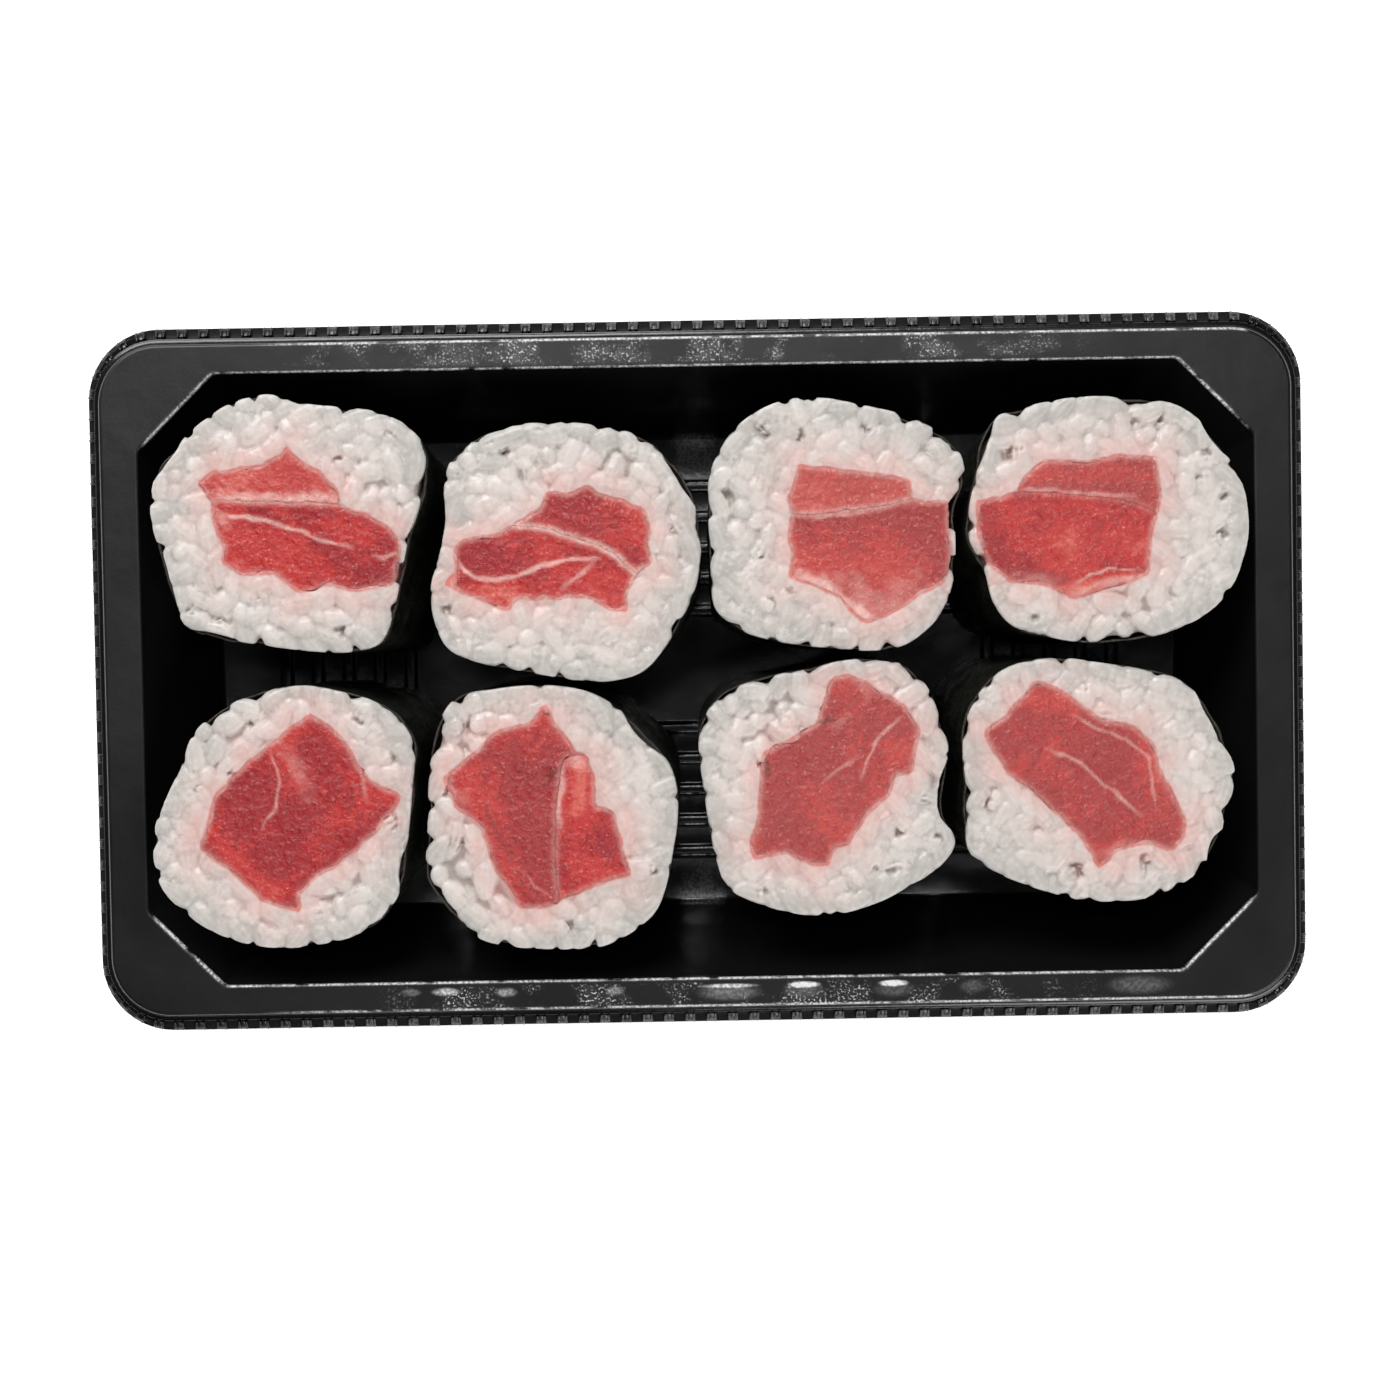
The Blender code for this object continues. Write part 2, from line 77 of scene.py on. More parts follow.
# Painted reflections of the lamps, bright patches along the front of the rim: place, half length, middle,
# half width and strength
PAINTED_GLINTS = [(-40.6, 1.6, -43.6, 0.7, 0.2), (-35.8, 2.4, -43.6, 0.7, 0.7), (-27.5, 1.8, -43.8, 0.8, 0.45),
          (-12.4, 1.6, -43.8, 0.8, 0.35), (3.4, 4.8, -43.4, 0.4, 0.9), (3.4, 5.2, -44.3, 1.4, 0.24),
          (13.8, 2.6, -43.4, 0.55, 1.9), (13.8, 3.6, -44.2, 1.4, 0.12), (26.2, 2.4, -43.4, 0.55, 1.9),
          (26.2, 3.4, -44.2, 1.4, 0.12), (37.2, 2.4, -44.0, 1.2, 0.1), (60.2, 5.4, -44.2, 1.6, 0.14)]


def grown(half, by):
    return half[0] + by, half[1] + by


def all_round(corner):
    """The corner mirrored to all four, with points along the straight sides between them."""
    back = corner[::-1]
    corners = [corner, [(-x, y) for x, y in back], [(-x, -y) for x, y in corner], [(x, -y) for x, y in back]]
    ring = []
    for number, points in enumerate(corners):
        start, end = np.array(points[-1]), np.array(corners[(number + 1) % 4][0])
        steps = SIDE_STEPS[number % 2]
        ring += points + [tuple(start + (end - start) * step / steps) for step in range(1, steps)]
    return np.array(ring)


def cut_ring(half, cut, ease=1.5):
    """A rectangle with its corners cut at 45 degrees, and both ends of each cut eased by an arc."""
    hx, hy = half
    reach = ease * math.tan(math.radians(22.5))
    arcs = [(hx - ease, hy - cut - reach, 0, 45), (hx - cut - reach, hy - ease, 45, 90)]
    return all_round([(x + ease * math.cos(a), y + ease * math.sin(a)) for x, y, low, high in arcs
                      for a in np.radians(np.linspace(low, high, CORNER_STEPS))])


def round_ring(half, radius):
    hx, hy = half
    return all_round([(hx - radius + radius * math.cos(a), hy - radius + radius * math.sin(a))
                      for a in np.radians(np.linspace(0, 90, 2 * CORNER_STEPS))])


def tray_rows():
    """The sheet's upper face as rings from the flange's edge to the middle: ring, height, share of wear and
    painted shine.
    """
    step_z = RIM_Z - STEP_DROP
    ledge_z = step_z - LEDGE_FALL
    slopes = [(FLANGE, FLANGE_RADIUS, 0, FLANGE_Z), (LEDGE, LEDGE_RADIUS, 0.22, FLANGE_Z + 0.05),
              (LEDGE, LEDGE_RADIUS, 0.12, FLANGE_Z + 0.2), (LEDGE, LEDGE_RADIUS, 0.08, ledge_z - 0.15),
              (LEDGE, LEDGE_RADIUS, 0, ledge_z), (LEDGE, LEDGE_RADIUS, -0.12, ledge_z),
              (STEP, STEP_RADIUS, 0.1, step_z), (STEP, STEP_RADIUS, -0.02, step_z + 0.1)]
    rows = [(round_ring(grown(half, by), radius + by), height, 0) for half, radius, by, height in slopes]
    rows.append((round_ring(grown(PLATFORM, EDGE_ROUND + 0.02), PLATFORM_RADIUS + EDGE_ROUND),
                 RIM_Z - EDGE_ROUND - 0.1, 0))
    for a, shine_and_wear in zip(QUARTER_TURN, (0, 0, 0.6, 1.0, 0.1)):
        out = EDGE_ROUND * math.cos(a)
        rows.append((round_ring(grown(PLATFORM, out), PLATFORM_RADIUS + out),
                     RIM_Z - EDGE_ROUND * (1 - math.sin(a)), shine_and_wear))
    rows += [(round_ring(grown(PLATFORM, by), PLATFORM_RADIUS + by), RIM_Z, 0) for by in (-0.1, -1.2)]
    rows += [(cut_ring(grown(OPENING, by), OPENING_CUT), RIM_Z, 0) for by in (0.9, 0.15)]
    for a, shine_and_wear in zip(QUARTER_TURN, (0.1, 1.0, 0.7, 0, 0)):
        rows.append((cut_ring(grown(OPENING, -LIP * math.sin(a)), OPENING_CUT),
                     RIM_Z - LIP_DROP * (1 - math.cos(a)), shine_and_wear))
    top, top_z = grown(OPENING, -LIP), RIM_Z - LIP_DROP
    foot, foot_z = grown(FLOOR, WALL_FOOT), SHEET + WALL_FOOT_RISE
    for share in (0.02, 0.15, 0.3, 0.5, 0.7, 0.85, 0.96):
        half = tuple(t + (f - t) * share for t, f in zip(top, foot))
        cut = OPENING_CUT + (FLOOR_CUT - OPENING_CUT) * share
        rows.append((cut_ring(half, cut), top_z + (foot_z - top_z) * share, 0))
    for a in QUARTER_TURN:
        rows.append((cut_ring(grown(FLOOR, WALL_FOOT * math.cos(a)), FLOOR_CUT),
                     foot_z - WALL_FOOT_RISE * math.sin(a), 0.15))
    slope = (RIB_FOOT_WIDTH - RIB_TOP_WIDTH) / 2
    half_rib = [(-0.25, 0, 0), (0, 0.025, 0), (0.1, 0.35, 0), (slope - 0.06, 0.825, 0),
                (slope + 0.04, 0.9625, 1), (slope + 0.2, 1, 0)]
    across = half_rib + [(RIB_FOOT_WIDTH - back, share, shine_and_wear) for back, share, shine_and_wear in half_rib[::-1]]
    for number in range(RIB_COUNT):
        for back, share, shine_and_wear in across:
            half = grown(RIB_OUTER, -number * RIB_PITCH - back)
            rows.append((cut_ring(half, RIB_CUT, RIB_EASE), SHEET + share * RIB_HEIGHT, shine_and_wear))
    return rows


def plain_object(name, points, faces, smooth=True):
    """An object at the origin from points in millimetres."""
    mesh = bpy.data.meshes.new(name)
    mesh.from_pydata([tuple(p) for p in np.asarray(points, float) * MM], [], [tuple(f) for f in faces])
    mesh.update()
    mesh.polygons.foreach_set("use_smooth", [smooth] * len(mesh.polygons))
    obj = bpy.data.objects.new(name, mesh)
    bpy.context.scene.collection.objects.link(obj)
    return obj


def give_values(obj, name, values, kind="FLOAT"):
    """Stores one value for each point of the mesh, for the material to read."""
    layer = obj.data.attributes.get(name) or obj.data.attributes.new(name, kind, "POINT")
    field = "vector" if kind == "FLOAT_VECTOR" else "value"
    layer.data.foreach_set(field, np.asarray(values, np.float32).ravel())


def make_plain(obj):
    """Turns the object's modifiers into its mesh and takes them off."""
    bpy.context.view_layer.update()
    made = bpy.data.meshes.new_from_object(obj.evaluated_get(bpy.context.evaluated_depsgraph_get()))
    obj.modifiers.clear()
    obj.data = made


def feed(tree, made, feeds):
    """Wires each input of a node from a socket or from another node's first output, or sets it to a value."""
    for key, value in feeds.items():
        if isinstance(value, bpy.types.Node):
            value = value.outputs[0]
        if isinstance(value, bpy.types.NodeSocket):
            tree.links.new(value, made.inputs[key])
        else:
            made.inputs[key].default_value = value


def node(tree, kind, feeds=None, **settings):
    """A new node with its settings and its inputs."""
    made = tree.nodes.new(kind)
    for key, value in settings.items():
        setattr(made, key, value)
    feed(tree, made, feeds or {})
    return made


def shared_tree(*values):
    """The tree of the first socket among some values."""
    return next(value.id_data for value in values if isinstance(value, bpy.types.NodeSocket))


def maths(operation, *values, **settings):
    return node(shared_tree(*values), "ShaderNodeMath", dict(enumerate(values)), operation=operation,
                **settings).outputs[0]


def geometry_tree(name, sockets):
    """A Geometry Nodes tree with the named inputs, and its input and output nodes."""
    tree = bpy.data.node_groups.new(name, "GeometryNodeTree")
    tree.interface.new_socket("Geometry", in_out="OUTPUT", socket_type="NodeSocketGeometry")
    tree.interface.new_socket("Geometry", in_out="INPUT", socket_type="NodeSocketGeometry")
    for label, kind in sockets:
        tree.interface.new_socket(label, in_out="INPUT", socket_type="NodeSocket" + kind)
    return tree, tree.nodes.new("NodeGroupInput").outputs, tree.nodes.new("NodeGroupOutput")


def grow(obj, tree, values):
    """Runs a Geometry Nodes tree on the object with the named values, and keeps the plain mesh."""
    modifier = obj.modifiers.new(tree.name, "NODES")
    modifier.node_group = tree
    for item in tree.interface.items_tree:
        if item.item_type == "SOCKET" and item.in_out == "INPUT" and item.name in values:
            modifier[item.identifier] = values[item.name]
    make_plain(obj)


def finished(tree, out, material, *parts):
    """Joins the parts, turns them into plain mesh, and gives them the material."""
    joined = node(tree, "GeometryNodeJoinGeometry")
    for part in parts:
        feed(tree, joined, {0: part})
    plain = node(tree, "GeometryNodeRealizeInstances", {0: joined})
    feed(tree, out, {0: node(tree, "GeometryNodeSetMaterial", {"Geometry": plain, "Material": material})})


def crimp_shape():
    """The two small ridges of one pitch of the crimped edge, and the shallow pit between them."""
    bm = bmesh.new()
    for along, width, reach, sink in ((-0.5, 0.32, 1.24, 0), (0, 0.9, 1.2, 0.3), (0.5, 0.32, 1.27, 0)):
        made = bmesh.ops.create_cube(bm, size=1.0)["verts"]
        edges = dict.fromkeys(e for v in made for e in v.link_edges)
        bmesh.ops.transform(bm, verts=made, matrix=Matrix.Diagonal((width, reach, 0.9, 1)))
        bmesh.ops.translate(bm, verts=made, vec=(along, CRIMP_INSET - reach / 2, -sink))
        bmesh.ops.bevel(bm, geom=list(edges), offset=0.1, segments=1, affect="EDGES")
    for vert in bm.verts:
        vert.co.z -= CRIMP_LEAN * (CRIMP_INSET - vert.co.y)
    mesh = bpy.data.meshes.new("crimp")
    bm.transform(Matrix.Scale(MM, 4))
    bm.to_mesh(mesh)
    bm.free()
    # The crimp's ridges take a little wear and painted shine
    mesh.attributes.new("worn_and_shining", "FLOAT", "POINT").data.foreach_set("value", [CRIMP_WEAR_AND_SHINE] * len(mesh.vertices))
    mesh.polygons.foreach_set("use_smooth", [True] * len(mesh.polygons))
    return bpy.data.objects.new("crimp", mesh)


def crimp_tree():
    """Sets the crimp's ridges at even pitches along the flange's rounded edge."""
    tree, given, out = geometry_tree("Crimped edge", [
        ("Ridges", "Object"), ("Length", "Float"), ("Width", "Float"), ("Corner radius", "Float"),
        ("Height", "Float"), ("Pitches", "Int"), ("Plastic", "Material")])
    frame_line = node(tree, "GeometryNodeCurvePrimitiveQuadrilateral",
                      {"Width": given["Length"], "Height": given["Width"]})
    rounded = node(tree, "GeometryNodeFilletCurve",
                   {"Curve": frame_line, "Radius": given["Corner radius"], "Count": 12}, mode="POLY")
    points = node(tree, "GeometryNodeCurveToPoints", {"Curve": rounded, "Count": given["Pitches"]},
                  mode="COUNT")
    lift = node(tree, "ShaderNodeCombineXYZ", {"Z": given["Height"]})
    lifted = node(tree, "GeometryNodeSetPosition", {"Geometry": points.outputs["Points"], "Offset": lift})
    turned = node(tree, "FunctionNodeAlignRotationToVector", {"Vector": points.outputs["Tangent"]},
                  axis="X", pivot_axis="Z")
    shape = node(tree, "GeometryNodeObjectInfo", {"Object": given["Ridges"]})
    placed = node(tree, "GeometryNodeInstanceOnPoints",
                  {"Points": lifted, "Instance": shape.outputs["Geometry"], "Rotation": turned})
    finished(tree, out, given["Plastic"], given["Geometry"], placed.outputs[0])
    return tree


def ramp(value, low, high, start=0.0, end=1.0):
    """Eases from start to end while the value goes from low to high."""
    return node(shared_tree(value), "ShaderNodeMapRange",
                {"Value": value, "From Min": low, "From Max": high, "To Min": start, "To Max": end},
                interpolation_type="SMOOTHSTEP").outputs[0]


def fade(value, span):
    """Eases from 0 to 1 between two places in millimetres."""
    return ramp(value, span[0] * MM, span[1] * MM)


def patches_group():
    """Uneven patches of a given size: 0 between them and 1 inside, with edges from Low to High."""
    tree = bpy.data.node_groups.new("Patches", "ShaderNodeTree")
    for label, kind, value in (("Position", "Vector", None), ("Size in mm", "Float", 1.0),
                               ("Low", "Float", 0.4), ("High", "Float", 0.6)):
        socket = tree.interface.new_socket(label, in_out="INPUT", socket_type="NodeSocket" + kind)
        if value is not None:
            socket.default_value = value
    tree.interface.new_socket("Mask", in_out="OUTPUT", socket_type="NodeSocketFloat")
    given, out = tree.nodes.new("NodeGroupInput").outputs, tree.nodes.new("NodeGroupOutput")
    scale = maths("DIVIDE", 1000.0, given["Size in mm"])
    cloud = node(tree, "ShaderNodeTexNoise", {"Vector": given["Position"], "Scale": scale, "Detail": 3.0})
    tree.links.new(ramp(cloud.outputs["Fac"], given["Low"], given["High"]), out.inputs[0])
    return tree


PATCHES = patches_group()


def patches(position, size, low, high):
    feeds = {"Position": position, "Size in mm": size, "Low": low, "High": high}
    return node(shared_tree(position), "ShaderNodeGroup", feeds, node_tree=PATCHES).outputs[0]


def blank_finish(name):
    """A material's tree, its shader and its Object coordinates."""
    made = bpy.data.materials.new(name)
    made.use_nodes = True
    tree = made.node_tree
    place = node(tree, "ShaderNodeTexCoord").outputs["Object"]
    return made, tree, tree.nodes["Principled BSDF"], place


def stored(tree, name):
    """A value kept for each point of the mesh."""
    return node(tree, "ShaderNodeAttribute", attribute_name=name).outputs["Fac"]


def times(*values):
    """The product of sockets and numbers."""
    return functools.reduce(lambda a, b: maths("MULTIPLY", a, b), values)


def plus(*values):
    return functools.reduce(lambda a, b: maths("ADD", a, b), values)


def tint(share, start, end):
    """A colour between two, each a colour or a socket."""
    start, end = ((*colour, 1.0) if isinstance(colour, tuple) else colour for colour in (start, end))
    mixed = node(shared_tree(share), "ShaderNodeMix", {0: share, 6: start, 7: end}, data_type="RGBA")
    return mixed.outputs[2]


def relief(height, depth, below=None):
    """A bump of a depth in metres, over another one if given."""
    tree = shared_tree(height)
    bump = node(tree, "ShaderNodeBump", {"Height": height, "Distance": depth, "Strength": 1.0})
    if below is not None:
        feed(tree, bump, {"Normal": below})
    return bump.outputs["Normal"]


def tray_finish():
    made, tree, shader, place = blank_finish("black_sheet")
    axes = node(tree, "ShaderNodeSeparateXYZ", {0: place}).outputs
    rim = fade(axes["Z"], (RIM_Z - 0.3, RIM_Z - 0.05))
    width_x, depth_y = (maths("ABSOLUTE", axes[key]) for key in "XY")
    front = ramp(axes["Y"], 0.0, -0.02)
    start = plus(axes["X"], times(front, FRONT_LEFT * MM))
    band = times(fade(depth_y, BAND_FRONT), fade(start, BAND_LEFT), fade(axes["X"], BAND_RIGHT), rim)
    # Clusters of pale specks along the rim's back and front: partly real scuffs, partly painted glints of the
    # lamps, with a painted hazy sheen among them
    cluster = times(patches(place, 5.0, 0.44, 0.64), band)
    glint_specks = times(patches(place, 0.36, 0.54, 0.66), cluster)
    scuff_haze_and_glints = times(cluster, patches(place, 1.4, 0.2, 0.75), plus(0.1, times(front, -0.07)))
    dapple = times(plus(0.45, times(patches(place, 0.5, 0.4, 0.62), 0.55)), rim)
    # Painted lamp reflections: soft, dappled bright ovals on the rim's front
    for at, long, middle, wide, strength in PAINTED_GLINTS:
        oval = node(tree, "ShaderNodeMapping",
                    {"Vector": place, "Location": (-at / long, -middle / wide, 0.0),
                     "Scale": (1 / long / MM, 1 / wide / MM, 0.0)})
        off = node(tree, "ShaderNodeVectorMath", {0: oval}, operation="LENGTH").outputs["Value"]
        scuff_haze_and_glints = plus(scuff_haze_and_glints, times(ramp(off, 1.0, 0.3), dapple, strength))
    # Painted shine, with some wear, on the rounded lips and edges, the crimp's ridges and the floor ribs near
    # the middle: pale grey lines and dots
    worn_and_shining = stored(tree, "worn_and_shining")
    side = fade(width_x, NO_SHINE_OR_WEAR_SIDE)
    outer = times(fade(depth_y, NO_SHINE_OR_WEAR_OUTER), fade(axes["X"], NO_SHINE_OR_WEAR_LEFT))
    away = times(fade(axes["Z"], RIB_LEVEL), fade(width_x, RIB_SHINE_AND_WEAR_HALF))
    kept = maths("SUBTRACT", 1.0, plus(side, outer, away), use_clamp=True)
    dots = plus(0.3, times(patches(place, 0.4, 0.4, 0.58), 0.7))
    edge = times(worn_and_shining, kept, patches(place, 3.2, 0.34, 0.5), dots)
    colour = tint(rim, SHEET_BLACK, RIM_BLACK)
    # Pale grey for the scuffs, the painted glints, sheen and lamp reflections, and the wear with painted
    # shine on edges
    colour = tint(plus(scuff_haze_and_glints, times(glint_specks, 0.75)), colour, SCUFF_AND_SHINE_GREY)
    colour = tint(edge, colour, SCUFF_AND_SHINE_GREY)
    haze = patches(place, 14.0, 0.3, 0.7)
    flange = maths("MAXIMUM", fade(depth_y, DULL_FRONT), fade(width_x, DULL_SIDE))
    rough = plus(ramp(plus(rim, flange), 0, 1, 0.13, 0.3), times(haze, 0.08), times(glint_specks, 0.2))
    wavy = relief(patches(place, 11.0, 0.0, 1.0), 0.00012)
    fine = relief(patches(place, 0.5, 0.3, 0.7), 0.000004, wavy)
    feed(tree, shader, {"Base Color": colour, "Roughness": rough, "IOR": 1.5,
                        "Normal": relief(glint_specks, 0.00005, fine)})
    return made


rows = tray_rows()
count = len(rows[0][0])
points = np.vstack([np.column_stack([ring, np.full(count, height)]) for ring, height, _ in rows])
# A drawn sheet waves a little: the walls sideways, the rim up and down
for point in points:
    sway = noise.noise(Vector(point * WAVES))
    if point[2] < RIM_Z - LIP_DROP - 0.1:
        point[:2] *= 1 - WALL_WAVE * sway * min(1.0, max(0.0, point[2] - SHEET - WALL_FOOT_RISE))
    elif point[2] > RIM_Z - LIP_DROP - 0.1:
        point[2] += RIM_WAVE * (sway - 0.5)
faces = [(r * count + i, r * count + (i + 1) % count, (r + 1) * count + (i + 1) % count, (r + 1) * count + i)
         for r in range(len(rows) - 1) for i in range(count)]
faces.append(range((len(rows) - 1) * count, len(rows) * count))
tray = plain_object("tray_sheet", points, faces)
# Each ring's share of wear and painted shine, for the material
give_values(tray, "worn_and_shining", np.repeat([shine_and_wear for _, _, shine_and_wear in rows], count))
wall = tray.modifiers.new("Sheet thickness", "SOLIDIFY")
wall.thickness, wall.offset, wall.use_even_offset = SHEET * MM, -1, True
make_plain(tray)
black_sheet = tray_finish()
grow(tray, crimp_tree(), {"Ridges": crimp_shape(), "Length": 2 * CRIMP_LINE[0] * MM,
                          "Width": 2 * CRIMP_LINE[1] * MM, "Corner radius": CRIMP_RADIUS * MM,
                          "Height": CRIMP_Z * MM, "Pitches": CRIMP_PITCHES, "Plastic": black_sheet})
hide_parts("tray")
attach(tray, "root")

# The seaweed: one dark, thin, crinkled sheet rolled tightly round each portion of rice, its end lapped over
# its start, and cut off with the roll, so that only its edge shows from above.
NORI_BOTTOM, NORI_TOP = 1.6, 26.0
NORI_THICK = 0.25
NORI_STEPS, NORI_ROWS = 190, 30
LAP_STEPS, LAP_LIFT = 20, 0.22
EDGE_WAVE, EDGE_LIFT = 3.2, 0.45
# Dents in the sheet: wave, how much it runs up the roll, and depth
MEAN_DENT, DENTS = 0.16, ((4.0, 0.6, 0.26), (1.5, 0.3, 0.12))
ROLL_HEIGHT, FOOT_SHARE = 25.4, (0.913, 0.83)
NORI_DARK = (0.005, 0.005, 0.0035)
NORI_GREEN = (0.011, 0.013, 0.007)
NORI_BROWN = (0.024, 0.017, 0.010)
NORI_EDGE = (0.05, 0.04, 0.032)


def outline_of(name, height):
    """The largest closed outline of a CAD node's flat face at a height, in millimetres."""
    bm = bmesh.new()
    bm.from_mesh(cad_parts[name].data)
    bmesh.ops.remove_doubles(bm, verts=bm.verts, dist=1e-6)
    level = {f for f in bm.faces if all(abs(v.co.z - height * MM) < 2e-5 for v in f.verts)}
    edges = [e for e in bm.edges if sum(f in level for f in e.link_faces) == 1]
    loops = []
    while edges:
        edge = edges.pop(0)
        first, last = edge.verts
        loop = [first]
        while last is not first:
            loop.append(last)
            edge = next(e for e in last.link_edges if e in edges)
            edges.remove(edge)
            last = edge.other_vert(last)
        loops.append(anticlockwise(np.array([v.co.xy for v in loop]) / MM))
    bm.free()
    return max(loops, key=area)


def area(ring):
    x, y = ring[:, 0], ring[:, 1]
    return float(np.sum(x * np.roll(y, -1) - y * np.roll(x, -1))) / 2


def anticlockwise(ring):
    return ring if area(ring) > 0 else ring[::-1]


def even_ring(line, count):
    """count evenly spaced points on a closed line."""
    closed = np.vstack([line, line[:1]])
    along = np.concatenate([[0], np.cumsum(np.linalg.norm(np.diff(closed, axis=0), axis=1))])
    at = np.linspace(0, along[-1], count, endpoint=False)
    return np.column_stack([np.interp(at, along, closed[:, axis]) for axis in (0, 1)])


def smooth_ring(corners, count):
    """count evenly spaced points on a smooth closed curve through the corners."""
    t = np.linspace(0, 1, 17)[:-1, None]
    a, b, c, d = (np.roll(corners, shift, axis=0) for shift in (1, 0, -1, -2))
    fine = [0.5 * (2 * b[i] + (c[i] - a[i]) * t + (2 * a[i] - 5 * b[i] + 4 * c[i] - d[i]) * t**2
                   + (3 * b[i] - a[i] - 3 * c[i] + d[i]) * t**3) for i in range(len(corners))]
    return even_ring(np.vstack(fine), count)


def inwards(ring):
    """Each point's unit direction into an anticlockwise ring."""
    ahead = np.roll(ring, -1, axis=0) - np.roll(ring, 1, axis=0)
    return np.column_stack([-ahead[:, 1], ahead[:, 0]]) / np.linalg.norm(ahead, axis=1)[:, None]


def lean(ring, from_z, to_z):
    """A ring at one height moved to another: the rolls narrow downwards, as the tray's walls do."""
    start, end = ((np.asarray(z, float) - NORI_BOTTOM) / ROLL_HEIGHT for z in (from_z, to_z))
    wide, deep = ((low + (1 - low) * end) / (low + (1 - low) * start) for low in FOOT_SHARE)
    return np.column_stack([ring[:, 0] * wide, ring[:, 1] * deep])


def at_zero(flat):
    """Flat points with a height of 0."""
    return np.column_stack([flat, flat[:, 0] * 0])


def ripple(points, size, seed):
    """Smooth noise from about -1 to 1 at each point, with waves of a size in millimetres."""
    shift = Vector((seed * 17.3, seed * 7.9, seed * 3.1))
    return np.array([noise.noise(Vector(p) / size + shift) for p in points])


def swayed(points, size, seed):
    """Smooth noise to both sides for each point."""
    return np.column_stack([ripple(points, size, seed), ripple(points, size, seed + 10)])


def seaweed_finish():
    made, tree, shader, place = blank_finish("seaweed")
    blotch = patches(place, 3.2, 0.35, 0.7)
    colour = tint(blotch, NORI_DARK, NORI_GREEN)
    colour = tint(times(patches(place, 0.9, 0.55, 0.72), 0.6), colour, NORI_BROWN)
    top = ramp(node(tree, "ShaderNodeSeparateXYZ", {0: place}).outputs["Z"], 25.2 * MM, 25.9 * MM)
    colour = tint(times(top, 0.7), colour, NORI_EDGE)
    rough = plus(0.3, times(patches(place, 2.0, 0.3, 0.7), 0.25))
    flow = node(tree, "ShaderNodeMapping", {"Vector": place, "Scale": (1.0, 1.0, 0.35)}).outputs[0]
    crease = relief(patches(flow, 1.3, 0.2, 0.8), 0.00025)
    feed(tree, shader, {"Base Color": colour, "Roughness": rough,
                        "Normal": relief(patches(place, 0.35, 0.3, 0.7), 0.00006, crease)})
    return made


seaweed = seaweed_finish()
ROLLS = range(1, 9)
wraps = {}
for number in ROLLS:
    ring = smooth_ring(outline_of(f"nori_{number}", NORI_TOP), NORI_STEPS)
    wraps[number] = ring
    lap = (number * 47) % NORI_STEPS
    steps_on = (np.arange(NORI_STEPS) - lap) % NORI_STEPS
    lapped = np.clip(1 - steps_on / LAP_STEPS, 0, 1) ** 0.5 * LAP_LIFT * (steps_on > 0)
    edge_lift = ripple(at_zero(ring), EDGE_WAVE, number) * EDGE_LIFT
    outer, inner = [], []
    for row in range(NORI_ROWS + 1):
        share = row / NORI_ROWS
        heights = NORI_BOTTOM + (NORI_TOP - NORI_BOTTOM) * share + edge_lift * share**6
        path = lean(ring, NORI_TOP, heights)
        solid = np.column_stack([path, heights])
        dent = MEAN_DENT + sum(depth * ripple(solid * (1, 1, up), wave, number) for wave, up, depth in DENTS)
        push = np.clip(dent, 0, 0.5) + lapped
        side = inwards(path)
        outer.append(np.column_stack([path + side * push[:, None], heights]))
        inner.append(np.column_stack([path + side * (push + NORI_THICK)[:, None], heights]))
    stack = outer + inner[::-1]
    points = np.vstack(stack)
    total = len(stack)
    faces = [(r * NORI_STEPS + i, r * NORI_STEPS + (i + 1) % NORI_STEPS,
              (r + 1) % total * NORI_STEPS + (i + 1) % NORI_STEPS, (r + 1) % total * NORI_STEPS + i)
             for r in range(total) for i in range(NORI_STEPS)]
    wrap = plain_object(f"seaweed_{number}", points, faces)
    wrap.data.materials.append(seaweed)
    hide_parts(f"nori_{number}")
    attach(wrap, "root")

# The tuna: raw red strips laid along the roll and cut across with it, so the cut face shows the grain of
# the flesh, pale lines of sinew and a wet shine, partly painted as pale specks. The lines are drawn on the
# cut face, in millimetres.
TUNA_TOP, TUNA_BOTTOM = 27.3, 1.9
TUNA_MESH = 0.29
TUNA_EDGE = 0.45
MEETING_REACH, MEETING_GAP = 2.4, 0.01
FREE_FROM, FREE_OVER = 0.7, 1.2
SEAM_WIDTH, SEAM_REACH, EDGE_FAT = 0.5, 2.6, 0.45
FACE_DEPTH = 0.27
TUNA_RED = (0.57, 0.047, 0.043)
TUNA_DARK = (0.38, 0.030, 0.036)
TUNA_LIGHT = (0.73, 0.15, 0.12)
# The darkest flesh, and the painted shade inside gaps in the flesh
TUNA_GAP_SHADE = (0.15, 0.009, 0.013)
TUNA_PALE = (0.60, 0.20, 0.17)
SINEW = (0.92, 0.56, 0.50)
# Height under the highest cut, direction of the grain in degrees, tone from dark (-1) to light (1), paleness
CUT_LOOK = {"1a": (0.0, 10, 0.4, 0.15), "1b": (0.35, -15, -0.02, 0.0), "2a": (0.0, -30, -0.3, 0.06),
            "2b": (0.3, -10, 0.15, 0.02), "3a": (0.0, 5, 0.3, 0.35), "3b": (0.25, -20, -0.38, 0.2),
            "4a": (0.1, 0, -0.4, 0.25), "4b": (0.3, -5, -0.1, 0.08), "5": (0.2, 55, -0.66, 0.01),
            "6a": (0.25, 70, -0.75, 0.11), "6b": (0.0, 80, -0.15, 0.02), "7": (0.2, 60, -0.62, 0.24),
            "8": (0.2, 40, -0.75, 0.2)}
